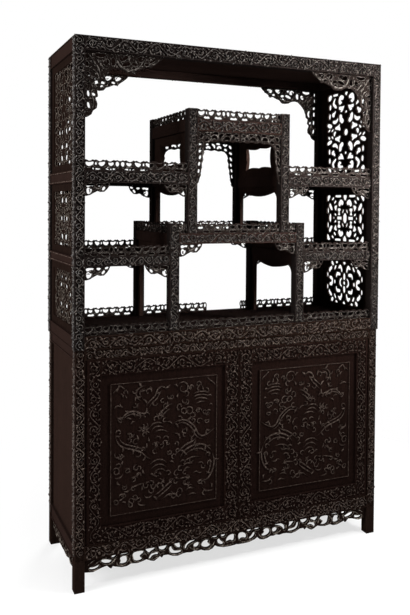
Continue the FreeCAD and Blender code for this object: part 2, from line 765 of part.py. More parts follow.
def top_spandrel_shape():
    """An L-shaped corner piece: edge bars, a solid leaf in the corner and scrolls along both arms."""
    thick = value("spandrel_thickness")
    ribbon = value("spandrel_ribbon")
    edge = value("spandrel_edge")
    reach = value("top_spandrel_reach")
    width = value("top_spandrel_width")
    pieces = [bar((0, reach), (-edge, 0), thick), bar((0, edge), (-reach, 0), thick)]
    # The corner leaf's outline, in widths of the arm
    leaf = [(0, 0), (1.5, 0), (1, -0.7), (0.7, -1), (0, -1.5)]
    pieces.append(prism([(width * u, width * v) for u, v in leaf], thick))
    scrolls = 3
    start = width * 1.2
    shrink = 0.84
    open_turn = 215
    first = (reach - start) * (1 - shrink) / (1 - shrink ** scrolls) / 2
    along = start
    for count in range(scrolls):
        outer = first * shrink ** count
        radius = outer - ribbon / 2
        centre = along + outer
        # One scroll hangs from the upper bar, and its twin stands off the upright bar
        pieces.append(scroll((centre, -outer), radius, -40, [(radius, open_turn)], ribbon, thick))
        pieces.append(scroll((outer, -centre), radius, 95, [(radius, open_turn)], ribbon, thick))
        along += 2 * outer
    return merged(pieces)


def shelf_spandrel_shape():
    """A small three-cornered bracket with a stepped lower edge, pierced in the corner."""
    thick = value("spandrel_thickness")
    edge = value("spandrel_edge")
    length = value("shelf_spandrel_length")
    drop = value("shelf_spandrel_drop")
    # The stepped edge and the hole's far side, in shares of the length and of the drop
    stepped = [(1, 0), (0.62, -0.5), (0.52, -0.68), (0.24, -0.8)]
    pierced = [(0.4, -0.5), (0.07, -0.72)]
    lower_edge = [(length * u, drop * v) for u, v in stepped]
    far_side = [(length * u, drop * v) for u, v in pierced]
    outer = prism([(0, 0)] + lower_edge + [(edge, -drop), (0, -drop)], thick)
    hole = prism([(edge, -edge), (length * 0.6, -edge)] + far_side, thick)
    return outer.cut(hole)


def tower_apron_shape(width):
    """A pierced arch for the tower's front: a band of wave under the rail and two tapering legs."""
    thick = value("spandrel_thickness")
    ribbon = value("spandrel_ribbon")
    edge = value("spandrel_edge")
    band = value("tower_apron_band")
    leg = value("tower_apron_leg")
    half = width / 2
    scroll_room = band * 1.5
    scrolls = max(2, round(half / scroll_room))
    pitch = half / scrolls
    radius = (band - ribbon) / 2
    arm = []
    for count in range(scrolls):
        first = -40 if count % 2 else -110
        arm.append(scroll((pitch * (count + 0.5), -band / 2), radius, first, [(radius, 250)], ribbon, thick))
    arm.append(bar((half - edge, half), (-band - leg, 0), thick))
    steps = max(1, round(leg / scroll_room))
    for count in range(steps):
        outer = radius * (1 - count / (steps + 1))
        centre = (half - outer - ribbon / 2, -band - leg * (count + 0.5) / (steps + 0.5))
        arm.append(scroll(centre, outer, -60, [(outer, 215)], ribbon, thick))
    return merged([bar((-half, half), (-edge, 0), thick)] + arm + mirrored(arm))


def build_corner_pieces():
    """The pierced corner pieces under the top rail, the shelves and the tower's top."""
    setback = value("inner_setback") + value("gallery_setback")
    out = value("overall_depth") / 2 - setback
    face_y = {"front": value("spandrel_thickness") - out, "back": out}
    wall = value("overall_width") / 2 - value("post_size")
    tower = value("tower_width") / 2
    bridge = value("bridge_width") / 2
    corner = top_spandrel_shape()
    bracket = shelf_spandrel_shape()
    hands = {1: lambda shape: shape, -1: lambda shape: mirrored([shape])[0]}
    under = {
        "top_spandrels": (corner, value("overall_height") - value("top_rail"), ((-wall, 1), (wall, -1))),
        "upper": (bracket, shelf_height("upper_shelf") - value("upper_shelf_rail"),
                  ((-wall, 1), (-tower, -1), (tower, 1), (wall, -1))),
        "lower": (bracket, shelf_height("lower_shelf") - value("lower_shelf_rail"),
                  ((-wall, 1), (-bridge, -1), (bridge, 1), (wall, -1))),
        "middle": (bracket, shelf_height("middle_shelf") - value("middle_shelf_rail"),
                   ((value("post_size") - bridge, 1), (bridge - value("post_size"), -1))),
    }
    made = {}
    for name, (shape, level, places) in under.items():
        made[name] = []
        for face in FACES:
            for count, (x, hand) in enumerate(places):
                made[name].append(ornament(f"{name}_{face}_{count}", hands[hand](shape), "front",
                                           (x, face_y[face], level)))
    node("top_spandrels", group("top_spandrels", made["top_spandrels"]))
    node("shelf_spandrels", group("shelf_spandrels", made["upper"] + made["lower"] + made["middle"]))
    shape = tower_apron_shape(2 * (tower - value("post_size")))
    level = shelf_height("tower_top") - value("tower_rail")
    aprons = [ornament(f"tower_{face}_apron", shape, "front", (0, face_y[face], level)) for face in FACES]
    node("tower_aprons", group("tower_aprons", aprons))


def cupboard_apron_shape(length):
    """A pierced skirt: a bar with interlocking scrolls, alike on both halves."""
    thick = value("apron_thickness")
    ribbon = value("apron_ribbon")
    height = value("apron_height")
    edge = value("spandrel_edge")
    radius = (height - ribbon) / 2
    half = length / 2
    scrolls = max(1, round(half / (height + edge)))
    pitch = half / scrolls
    arm = []
    for count in range(scrolls):
        centre = (pitch * (count + 0.5), -height / 2)
        arm.append(scroll(centre, radius, -90, [(radius, 250)], ribbon, thick))
    return merged([bar((-half, half), (-edge, 0), thick)] + arm + mirrored(arm))


def build_cupboard_aprons():
    """The pierced skirts under the cupboard's bottom rails, at the front and both sides."""
    inset_from_wall = value("cupboard_inset") + value("apron_setback")
    half_x = value("overall_width") / 2 - value("cupboard_inset") - value("post_size")
    half_y = value("overall_depth") / 2 - value("cupboard_inset") - value("post_size")
    level = value("leg_clear")
    front_y = inset_from_wall + value("apron_thickness") - value("overall_depth") / 2
    front = cupboard_apron_shape(2 * half_x)
    node("front_apron", ornament("front_apron", front, "front", (0, front_y, level)))
    shape = cupboard_apron_shape(2 * half_y)
    out = value("overall_width") / 2 - inset_from_wall
    aprons = [ornament(f"{side}_apron", shape, "side", (x, 0, level))
              for side, x in (("left", -out), ("right", out - value("apron_thickness")))]
    node("side_aprons", group("side_aprons", aprons))


def outline(*edges):
    """A closed flat face from lines (two points) and arcs (three points)."""
    curves = []
    for points in edges:
        corners = [FreeCAD.Vector(u, v, 0) for u, v in points]
        curve = Part.Arc(*corners) if len(corners) == 3 else Part.LineSegment(*corners)
        curves.append(curve.toShape())
    return Part.Face(Part.Wire(curves))


def arched_board(width, low, high):
    """A board whose lower part is an ogee arch with a drop in the middle, standing on two legs."""
    thick = value("side_panel_thickness")
    half = width / 2
    side = half - value("arch_leg")
    crown = high - value("arch_crown")
    shoulder = value("arch_shoulder")
    drop = crown - value("arch_drop")
    bend = shoulder * (1 - math.cos(math.pi / 4))
    way_in = (side - shoulder) / 2
    sag = crown - value("arch_drop") * 0.7
    opening = outline(
        [(-side, low), (side, low)],
        [(side, low), (side, crown - shoulder)],
        [(side, crown - shoulder), (side - bend, crown - bend), (side - shoulder, crown)],
        [(side - shoulder, crown), (way_in, sag), (0, drop)],
        [(0, drop), (-way_in, sag), (shoulder - side, crown)],
        [(shoulder - side, crown), (bend - side, crown - bend), (-side, crown - shoulder)],
        [(-side, crown - shoulder), (-side, low)])
    board = bar((-half, half), (low, high), thick)
    return board.cut(opening.extrude(FreeCAD.Vector(0, 0, thick)))


def cartouche_board(width, low, high):
    """A board with a cartouche opening: pointed corners, hollow ends and bracketed long sides."""
    thick = value("side_panel_thickness")
    half = width / 2
    mid = (low + high) / 2
    far = value("cartouche_length") / 2
    tall = value("cartouche_height") / 2
    hollow = value("cartouche_hollow")

    def long_side(sign):
        """One long side, from its left corner to its right: two bowed halves that meet in a cusp."""
        cusp = (0, mid + sign * (tall - hollow / 2))
        bow = mid + sign * (tall - hollow)
        left = [(-far, mid + sign * tall), (-far / 2, bow), cusp]
        right = [cusp, (far / 2, bow), (far, mid + sign * tall)]
        return [left, right]

    edges = long_side(1)
    edges.append([(far, mid + tall), (far - hollow, mid), (far, mid - tall)])
    edges += [list(reversed(arc)) for arc in reversed(long_side(-1))]
    edges.append([(-far, mid - tall), (hollow - far, mid), (-far, mid + tall)])
    board = bar((-half, half), (low, high), thick)
    return board.cut(outline(*edges).extrude(FreeCAD.Vector(0, 0, thick)))


def build_side_panels():
    """The shaped boards between the tower posts and between the bridge posts."""
    width = value("overall_depth") - 2 * (value("inner_setback") + value("post_size"))
    floor = value("cupboard_height") + value("base_rail")
    shelves = {
        "tower": (shelf_height("middle_shelf"), shelf_height("upper_shelf") - value("upper_shelf_rail"),
                  shelf_height("upper_shelf"), shelf_height("tower_top") - value("tower_rail")),
        "bridge": (floor, shelf_height("lower_shelf") - value("lower_shelf_rail"),
                   shelf_height("lower_shelf"), shelf_height("middle_shelf") - value("middle_shelf_rail")),
    }
    thick = value("side_panel_thickness")
    for name, (foot, arch_top, low, high) in shelves.items():
        upper = bar((-width / 2, width / 2), (low, high), thick)
        if name == "tower":
            upper = cartouche_board(width, low, high)
        lower = arched_board(width, foot, arch_top)
        out = value(f"{name}_width") / 2 - value("side_panel_setback")
        boards = []
        for side, x in (("left", -out), ("right", out - thick)):
            for level, shape in (("upper", upper), ("lower", lower)):
                boards.append(ornament(f"{name}_{side}_{level}_board", shape, "side", (x, 0, 0)))
        node(f"{name}_side_panels", group(f"{name}_side_panels", boards))


def write_parts():
    """Check every object and every sub-part, then write one file for each sub-part."""
    for item in doc.Objects:
        if {"Invalid", "Error"} & set(item.State):
            raise RuntimeError(f"{item.Name} failed: {item.State}")
    for piece in NODES:
        if piece.Shape.isNull() or not piece.Shape.isValid():
            raise RuntimeError(f"{piece.Label} has no valid shape")
    for piece in NODES:
        piece.Shape.exportStep(f"parts/{piece.Label}.step")


build_cupboard()
for door_side in SIDES:
    build_door(door_side)
frame_tenons = build_display_frame()
stand_tenons = build_side_shelves(frame_tenons)
main_posts = build_main_posts(frame_tenons)
build_stand("tower", "tower_width", MIDDLE_Z[1], TOWER_Z[1], TOWER_Z, UPPER_Z,
            "tower_top_board", stand_tenons["tower"])
build_stand("bridge", "bridge_width", BASE_Z[1], MIDDLE_Z[1], MIDDLE_Z, LOWER_Z, "middle_shelf",
            stand_tenons["bridge"])
doc.recompute()
build_frets(main_posts)
build_galleries()
build_corner_pieces()
build_cupboard_aprons()
build_side_panels()
doc.recompute()
write_parts()
print(len(NODES), "sub-parts")
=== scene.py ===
"""Carved blackwood display cabinet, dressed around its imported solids.

Metres, Z up, the front faces -Y. Ornament is drawn in millimetres on a flat face and then set in place.
"""

import logging
import math
import random
from dataclasses import dataclass, field
from enum import Enum

import bpy
import numpy as np
from mathutils import Matrix, Vector


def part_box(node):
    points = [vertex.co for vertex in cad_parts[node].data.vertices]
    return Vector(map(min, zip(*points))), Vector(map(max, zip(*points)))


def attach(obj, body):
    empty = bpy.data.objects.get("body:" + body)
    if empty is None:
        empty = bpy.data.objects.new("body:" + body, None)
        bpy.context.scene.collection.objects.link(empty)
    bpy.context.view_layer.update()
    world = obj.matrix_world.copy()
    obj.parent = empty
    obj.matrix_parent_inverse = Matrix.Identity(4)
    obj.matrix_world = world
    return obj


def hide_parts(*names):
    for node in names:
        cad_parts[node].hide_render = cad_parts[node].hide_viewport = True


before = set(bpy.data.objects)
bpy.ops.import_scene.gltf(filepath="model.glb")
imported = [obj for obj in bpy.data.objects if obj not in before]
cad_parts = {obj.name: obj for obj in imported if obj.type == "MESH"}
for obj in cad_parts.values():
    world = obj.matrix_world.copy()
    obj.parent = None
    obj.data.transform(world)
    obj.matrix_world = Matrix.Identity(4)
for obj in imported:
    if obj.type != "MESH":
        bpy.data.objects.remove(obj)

LOG = logging.getLogger("cabinet")
MM = 0.001
WELD = 0.02 * MM
MERGE = 0.002 * MM
SMOOTH_BELOW = math.radians(50)
BEVEL_ABOVE = math.radians(40)
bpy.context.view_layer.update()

Point = tuple[float, float]


class Side(Enum):
    """The four upright faces of the cabinet, by where they look."""

    FRONT = "front"
    BACK = "back"
    LEFT = "left"
    RIGHT = "right"


class Grain(Enum):
    """The way the wood's fibres run."""

    ALONG = 0
    UPRIGHT = 2


OUTWARD = {
    Side.FRONT: Vector((0, -1, 0)),
    Side.BACK: Vector((0, 1, 0)),
    Side.LEFT: Vector((-1, 0, 0)),
    Side.RIGHT: Vector((1, 0, 0)),
}
RIGHTWARD = {
    Side.FRONT: Vector((1, 0, 0)),
    Side.BACK: Vector((-1, 0, 0)),
    Side.LEFT: Vector((0, -1, 0)),
    Side.RIGHT: Vector((0, 1, 0)),
}
UP = Vector((0, 0, 1))


def linear(hex_colour: str) -> tuple[float, float, float, float]:
    """Turn an sRGB hex colour into linear light.

    Args:
        hex_colour: Six hex digits after a hash sign.

    Returns:
        Red, green, blue and an alpha of one.
    """
    parts = [int(hex_colour[at:at + 2], 16) / 255 for at in (1, 3, 5)]
    light = [part / 12.92 if part <= 0.04045 else ((part + 0.055) / 1.055) ** 2.4 for part in parts]
    return (light[0], light[1], light[2], 1.0)


def add_node(tree: bpy.types.NodeTree, kind: str, settings: dict | None = None,
             inputs: dict | None = None) -> bpy.types.Node:
    """Add one node with its settings, and set or link its inputs.

    Args:
        tree: The node tree to add to.
        kind: The node's type name.
        settings: Attribute names and values.
        inputs: Socket names or numbers, each with a value or another node's output socket.

    Returns:
        The new node.
    """
    made = tree.nodes.new(kind)
    for name, setting in (settings or {}).items():
        setattr(made, name, setting)
    for name, given in (inputs or {}).items():
        if isinstance(given, bpy.types.NodeSocket):
            tree.links.new(given, made.inputs[name])
        else:
            made.inputs[name].default_value = given
    return made


def noise(tree: bpy.types.NodeTree, place: bpy.types.NodeSocket, size: float, detail: float,
          inputs: dict | None = None) -> bpy.types.NodeSocket:
    """Add a noise pattern.

    Args:
        tree: The node tree to add to.
        place: The places that the pattern is laid on.
        size: The size of its spots in millimetres.
        detail: How many finer layers it has.
        inputs: Other inputs of the node.

    Returns:
        The pattern, from zero to one.
    """
    given = {"Vector": place, "Scale": 1 / (size * MM), "Detail": detail, **(inputs or {})}
    return add_node(tree, "ShaderNodeTexNoise", {}, given).outputs["Fac"]


def ranged(tree: bpy.types.NodeTree, value: bpy.types.NodeSocket, source: tuple[float, float],
           target: tuple[float, float] = (0.0, 1.0)) -> bpy.types.NodeSocket:
    """Spread a value's range over another range."""
    return add_node(tree, "ShaderNodeMapRange", {}, {
        "Value": value, "From Min": source[0], "From Max": source[1], "To Min": target[0],
        "To Max": target[1]}).outputs["Result"]


def combined(tree: bpy.types.NodeTree, how: str, first: bpy.types.NodeSocket,
             second: bpy.types.NodeSocket) -> bpy.types.NodeSocket:
    """Work out one value from two, by the name of a sum."""
    return add_node(tree, "ShaderNodeMath", {"operation": how}, {0: first, 1: second}).outputs["Value"]


Colour = bpy.types.NodeSocket | tuple[float, float, float, float]


def blended(tree: bpy.types.NodeTree, share: bpy.types.NodeSocket, first: Colour,
            second: Colour) -> bpy.types.NodeSocket:
    """Go from the first colour to the second as a share grows."""
    return add_node(tree, "ShaderNodeMix", {"data_type": "RGBA"}, {
        "Factor": share, "A": first, "B": second}).outputs["Result"]


@dataclass(frozen=True)
class Blackwood:
    """Oiled and rubbed blackwood: close straight grain, nearly black, with a soft satin sheen.

    The eye sees a brown-black ground, fine darker pores along the fibres, and paler crests on the carving,
    which are a painted highlight laid in patches.
    """

    name: str
    dark: str
    brown: str
    crest: str
    roughness: float
    grain: Grain
    fibre_mm: float = 2.2
    fibre_press: float = 0.05
    figure_mm: float = 90.0
    glint_spot_mm: float = 9.0
    pore_bump: float = 0.12
    pore_mm: float = 0.4
    chisel_bump: float = 0.0
    chisel_mm: float = 8.0
    chisel_deep: float = 0.4
    gloss: float = 0.04
    crest_from: float = 0.6
    least_glint: float = 0.1

    def material(self) -> bpy.types.Material:
        """Build the finish as a node material, or return the one already made."""
        found = bpy.data.materials.get(self.name)
        if found:
            return found
        made = bpy.data.materials.new(self.name)
        made.use_nodes = True
        tree = made.node_tree
        tree.nodes.clear()
        place = add_node(tree, "ShaderNodeTexCoord").outputs["Object"]
        # Fibres are far longer than wide, so the pattern is pressed together along them
        press = [1.0, 1.0, 1.0]
        press[self.grain.value] = self.fibre_press
        along = add_node(tree, "ShaderNodeMapping", {}, {"Vector": place, "Scale": press}).outputs["Vector"]
        # Real fibres are finer than a pixel here, so they are drawn a few times as coarse
        fibre = noise(tree, along, self.fibre_mm, 4.0, {"Roughness": 0.6})
        figure = noise(tree, along, self.figure_mm, 3.0, {"Distortion": 0.6})
        sheen = ranged(tree, fibre, (0.25, 0.75), (self.roughness - 0.05, self.roughness + 0.08))
        shader = add_node(tree, "ShaderNodeBsdfPrincipled", {}, {
            "Base Color": self.colour(tree, place, fibre, figure), "Roughness": sheen,
            "Normal": self.unevenness(tree, place, fibre), "Specular IOR Level": self.gloss, "IOR": 1.5})
        add_node(tree, "ShaderNodeOutputMaterial", {}, {"Surface": shader.outputs["BSDF"]})
        return made

    def colour(self, tree: bpy.types.NodeTree, place: bpy.types.NodeSocket, fibre: bpy.types.NodeSocket,
               figure: bpy.types.NodeSocket) -> bpy.types.NodeSocket:
        """Colour the wood: streaks along the fibres, darker clouds, and painted highlights on the crests, in patches.

        Args:
            tree: The material's node tree.
            place: Places on the object.
            fibre: The pattern of the fibres.
            figure: The larger pattern of the grain.

        Returns:
            The colour.
        """
        streaked = blended(tree, ranged(tree, fibre, (0.32, 0.7)), linear(self.dark), linear(self.brown))
        clouds = ranged(tree, figure, (0.3, 0.75), (0.0, 0.45))
        ground = blended(tree, clouds, streaked, linear(self.dark))
        # Carved pieces say how high each point stands; plain solids have none, and stay at the ground's colour
        height = add_node(tree, "ShaderNodeAttribute", {"attribute_name": "relief"}).outputs["Fac"]
        # The crests take a paler colour in noise spots: a painted highlight that stands in for glints
        crest = ranged(tree, height, (self.crest_from, 1.0))
        glint_spots = ranged(tree, noise(tree, place, self.glint_spot_mm, 2.0), (0.42, 0.66), (self.least_glint, 1.0))
        return blended(tree, combined(tree, "MULTIPLY", crest, glint_spots), ground, linear(self.crest))

    def unevenness(self, tree: bpy.types.NodeTree, place: bpy.types.NodeSocket,
                   fibre: bpy.types.NodeSocket) -> bpy.types.NodeSocket:
        """Roughen the surface with fine pores, and with the chisel's short cuts, which glint in the light."""
        pores = add_node(tree, "ShaderNodeBump", {}, {
            "Height": fibre, "Strength": self.pore_bump, "Distance": self.pore_mm * MM})
        cuts = add_node(tree, "ShaderNodeBump", {}, {
            "Height": noise(tree, place, self.chisel_mm, 2.0), "Strength": self.chisel_bump,
            "Distance": self.chisel_mm * self.chisel_deep * MM, "Normal": pores.outputs["Normal"]})
        return cuts.outputs["Normal"]


# The display section's carved faces: neutral black, with grey painted highlights on the crests
CARVED = Blackwood("carved_blackwood", "#161210", "#211b18", "#57504b", 0.24, Grain.UPRIGHT, chisel_bump=0.8,
                   gloss=0.18)
# The cupboard's carved faces: browner, and less polished by hands, with painted highlights on the crests
CUPBOARD = Blackwood("cupboard_blackwood", "#1b120f", "#281c17", "#5e534b", 0.28, Grain.UPRIGHT, chisel_bump=0.8,
                     gloss=0.06)
# Thin pierced pieces: dull black, with grey painted highlights on the beads round the openings
PIERCED = Blackwood("pierced_blackwood", "#120e0c", "#1e1816", "#6a645f", 0.5, Grain.UPRIGHT, chisel_bump=0.8,
                    gloss=0.0)
# Frets and skirts: the same, with pale tan painted highlights on the rims
FRETTED = Blackwood("fretted_blackwood", "#110b09", "#221814", "#958b80", 0.5, Grain.UPRIGHT, chisel_bump=0.8,
                    gloss=0.0)
# The sunk grounds under the carving: matt, and a little darker than the carving on them
CUPBOARD_GROUND = Blackwood("sunk_cupboard_blackwood", "#160f0c", "#211713", "#36312e", 0.4, Grain.UPRIGHT,
                            chisel_bump=0.8, gloss=0.0)
GROUND = Blackwood("sunk_blackwood", "#151110", "#1e1917", "#36312e", 0.4, Grain.UPRIGHT, chisel_bump=0.8, gloss=0.0)
# Plain planed boards and rails: brown-black with straight streaks; the upright wood's paler crest colour is a painted
# highlight on the side bead lines
UPRIGHT = Blackwood("upright_blackwood", "#1b1310", "#291d19", "#6a5c54", 0.5, Grain.UPRIGHT, gloss=0.0)
LENGTHWISE = Blackwood("lengthwise_blackwood", "#1b1310", "#2a1e1b", "#6a5c54", 0.5, Grain.ALONG, gloss=0.0)
# Shelves and floors: almost black, darker than the other boards as painted shade for the shade they stand in
SHELF = Blackwood("shelf_blackwood", "#0d0908", "#160f0d", "#3d342f", 0.5, Grain.ALONG, gloss=0.0)
# The doors: a reddish black, with dim painted highlights on the crests, spread evenly
DOOR = Blackwood("door_blackwood", "#120b09", "#1e1310", "#4c423c", 0.28, Grain.UPRIGHT, chisel_bump=0.6,
                 gloss=0.0, crest_from=0.65, least_glint=0.3)
# Turned dowels, bare of oil: plain light brown
DOWEL = Blackwood("bare_dowel_wood", "#3a2618", "#5a3d28", "#5a3d28", 0.6, Grain.UPRIGHT)


@dataclass(frozen=True)
class Stroke:
    """One carved line: points in millimetres on a face, and half its width at each."""

    points: tuple[Point, ...]
    widths: tuple[float, ...]


Strokes = list[Stroke]


def mapped(strokes: Strokes, along: float = 1.0, shift: float = 0.0) -> Strokes:
    """Copy strokes, mirrored left to right where along is -1, and then moved along by some millimetres."""
    return [Stroke(tuple((u * along + shift, v) for u, v in stroke.points), stroke.widths) for stroke in strokes]


def line(start: Point, end: Point, width: float) -> Stroke:
    """A straight stroke of one width."""
    return Stroke((start, end), (width, width))


def curl(centre: Point, radius: float, first: float, sweep: float, width: float, hook: float = 0.3,
         hold: float = 0.55, step: float = 36.0) -> Stroke:
    """A volute: an arc that keeps its radius at first and then winds inwards to a bud.

    Args:
        centre: Its middle.
        radius: The outer radius of its centre line.
        first: The angle where it starts, in degrees.
        sweep: How far it turns; a negative sweep turns clockwise.
        width: Half the stroke's width.
        hook: The last radius, as a share of the first.
        hold: The share of the sweep that keeps the outer radius.
        step: Degrees between points.

    Returns:
        The stroke.
    """
    count = max(3, round(abs(sweep) / step))
    points, widths = [], []
    for at in range(count + 1):
        share = at / count
        wound = max(0.0, (share - hold) / (1 - hold))
        reach = radius * (1 - (1 - hook) * wound)
        angle = math.radians(first + sweep * share)
        points.append((centre[0] + reach * math.cos(angle), centre[1] + reach * math.sin(angle)))
        widths.append(width * (0.55 + 0.45 * min(1.0, share * 4)) * (1 - 0.25 * wound))
    widths[-1] = width * 1.15
    return Stroke(tuple(points), tuple(widths))


def leaf(foot: Point, heading: float, length: float, bend: float, width: float, steps: int = 4) -> Stroke:
    """A carved leaf: a short bent stroke, broad in the middle and fine at both ends.

    Args:
        foot: Where it starts.
        heading: The way it starts, in degrees.
        length: Its length.
        bend: How far it turns on its way, in degrees.
        width: Half its greatest width.
        steps: How many pieces it has.

    Returns:
        The stroke.
    """
    shape = [0.45, 0.95, 1.0, 0.7, 0.2]
    points, widths = [foot], [width * shape[0]]
    angle = math.radians(heading)
    turn = math.radians(bend) / steps
    for at in range(1, steps + 1):
        u, v = points[-1]
        points.append((u + length / steps * math.cos(angle), v + length / steps * math.sin(angle)))
        widths.append(width * shape[round(at * (len(shape) - 1) / steps)])
        angle += turn
    return Stroke(tuple(points), tuple(widths))


def flowing(knots: list[Point], width: float, steps: int = 3, tip: float = 0.4) -> Stroke:
    """A smooth stroke through a few points, fine at both ends.

    Args:
        knots: The points that it passes.
        width: Half its greatest width.
        steps: How many pieces it has between two points.
        tip: Its width at the ends, as a share.

    Returns:
        The stroke.
    """
    ends = [np.array(knot, float) for knot in (knots[0], *knots, knots[-1])]
    points: list[Point] = []
    for at in range(len(knots) - 1):
        before, start, stop, after = ends[at:at + 4]
        for part in range(steps):
            share = part / steps
            place = (2 * start + (stop - before) * share
                     + (2 * before - 5 * start + 4 * stop - after) * share ** 2
                     + (3 * start - before - 3 * stop + after) * share ** 3) / 2
            points.append((float(place[0]), float(place[1])))
    points.append(knots[-1])
    last = len(points) - 1
    widths = [width * (tip + (1 - tip) * min(1.0, 3 * at / last, 3 * (last - at) / last)) for at in range(last + 1)]
    return Stroke(tuple(points), tuple(widths))


def scatter(strokes: Strokes, low: Point, high: Point, clear: float, size: float, width: float,
            seed: int, hook: Point = (30.0, 90.0)) -> Strokes:
    """Fill the free ground between strokes with small leaves that sprout away from them.

    Args:
        strokes: The larger carving.
        low: The ground's lowest corner.
        high: The ground's highest corner.
        clear: How far a leaf's middle stays from other strokes.
        size: A leaf's length.
        width: Half a leaf's width.
        seed: The seed of the carver's unevenness.
        hook: The least and the most that a leaf bends, in degrees.

    Returns:
        The leaves.
    """
    tries, stray = 6, 65
    draw = random.Random(seed)
    taken = np.array([point for stroke in strokes for point in stroke.points])
    leaves: Strokes = []
    area = (high[0] - low[0]) * (high[1] - low[1])
    for _ in range(round(tries * area / clear ** 2)):
        place = np.array((draw.uniform(low[0], high[0]), draw.uniform(low[1], high[1])))
        away = place - taken
        gaps = np.hypot(*away.T)
        nearest = int(gaps.argmin())
        if gaps[nearest] < clear:
            continue
        heading = math.degrees(math.atan2(away[nearest][1], away[nearest][0])) + draw.uniform(-stray, stray)
        bend = draw.choice((-1, 1)) * draw.uniform(*hook)
        length = size * draw.uniform(0.8, 1.25)
        run = np.array((math.cos(math.radians(heading)), math.sin(math.radians(heading))))
        foot = place - run * length / 2
        leaves.append(leaf((float(foot[0]), float(foot[1])), heading - bend / 2, length, bend, width, 3))
        taken = np.vstack([taken, [place], [foot], [place + run * length / 2]])
    return leaves


def sprouting(stem: Stroke, spacing: float, length: float, width: float, seed: int) -> Strokes:
    """Leaves that sprout from both sides of a stem, in turn.

    Args:
        stem: The stem.
        spacing: About how far it is from leaf to leaf.
        length: A leaf's length.
        width: Half a leaf's width.
        seed: The seed of the carver's unevenness.

    Returns:
        The leaves.
    """
    draw = random.Random(seed)
    leaves: Strokes = []
    walked, hand = draw.uniform(0.3, 0.9) * spacing, draw.choice((-1, 1))
    for (u, v), (next_u, next_v) in zip(stem.points, stem.points[1:]):
        walked += math.hypot(next_u - u, next_v - v)
        if walked < spacing:
            continue
        walked = 0.0
        heading = math.degrees(math.atan2(next_v - v, next_u - u)) + hand * draw.uniform(35, 60)
        leaves.append(leaf((u, v), heading, length * draw.uniform(0.8, 1.2), hand * draw.uniform(20, 90), width))
        hand = -hand
    return leaves


def wandering_vine(length: float, height: float, pitch: float, width: float, seed: int, clear: float,
                   size: float) -> Strokes:
    """A hand-cut vine: an uneven swinging stem, a curl in every bend, and small leaves between.

    Args:
        length: How long the strip is; the vine starts at zero.
        height: How high the strip is; the vine's middle is at zero.
        pitch: About how far it is from bend to bend.
        width: Half the stem's width.
        seed: The seed of the carver's unevenness.
        clear: How close leaves lie to each other.
        size: A leaf's length.

    Returns:
        The strokes.
    """
    curl_sweep = 430
    draw = random.Random(seed)
    bends = max(1, round(length / pitch))
    room = length / bends
    rise = height / 2 - width
    knots: list[Point] = []
    for at in range(2 * bends + 1):
        uneven = draw.uniform(-0.07, 0.07) * room if 0 < at < 2 * bends else 0.0
        swing = math.sin(math.pi * at / 2)
        lift = rise * draw.uniform(0.82, 1.0) * swing if at % 2 else rise * draw.uniform(-0.2, 0.2)
        knots.append((at * room / 2 + uneven, lift))
    strokes = [flowing(knots, width, 3, 0.8)]
    for at in range(bends):
        way = 1 if at % 2 == 0 else -1
        middle = (room * (at + 0.5) + draw.uniform(-0.05, 0.05) * room, -way * rise * draw.uniform(0.1, 0.3))
        radius = min(room * 0.34, rise * 0.62) * draw.uniform(0.85, 1.1)
        hand = draw.choice((-1, 1))
        first = 0 if hand > 0 else 180
        strokes.append(curl(middle, radius, first, -curl_sweep * way * hand, width, hook=0.3, step=48))
    edge = width + 0.5
    return strokes + scatter(strokes, (edge, edge - height / 2), (length - edge, height / 2 - edge), clear, size,
                             width * 1.4, seed)


def only(piece: bpy.types.Object) -> None:
    """Select one object and make it active."""
    bpy.ops.object.select_all(action="DESELECT")
    piece.select_set(True)
    bpy.context.view_layer.objects.active = piece


def fresh_object(name: str, data: bpy.types.ID) -> bpy.types.Object:
    """Add an object with nothing else selected, and make it the active one."""
    made = bpy.data.objects.new(name, data)
    bpy.context.collection.objects.link(made)
    only(made)
    return made


def points_of(piece: bpy.types.Object) -> np.ndarray:
    """The points of a mesh object, one in each row."""
    places = np.empty(len(piece.data.vertices) * 3, np.float32)
    piece.data.vertices.foreach_get("co", places)
    return places.reshape(-1, 3)


def move_points(piece: bpy.types.Object, places: np.ndarray) -> None:
    """Give the points of a mesh object new places."""
    piece.data.vertices.foreach_set("co", places.ravel())
    piece.data.update()


def mark_relief(piece: bpy.types.Object, low: float, high: float) -> None:
    """Note on each point how high it stands, from zero at low to one at high, in millimetres of Z."""
    share = (np.abs(points_of(piece)[:, 2]) / MM - low) / (high - low)
    noted = piece.data.attributes.new("relief", "FLOAT", "POINT")
    noted.data.foreach_set("value", np.clip(share, 0, 1).astype(np.float32))


# The section of a carved stroke, as shares of its half width across and of its depth outwards
RELIEF_SECTION = [(-1.0, -0.2), (-0.8, 0.5), (-0.42, 0.88), (0.0, 1.0), (0.42, 0.88), (0.8, 0.5), (1.0, -0.2)]


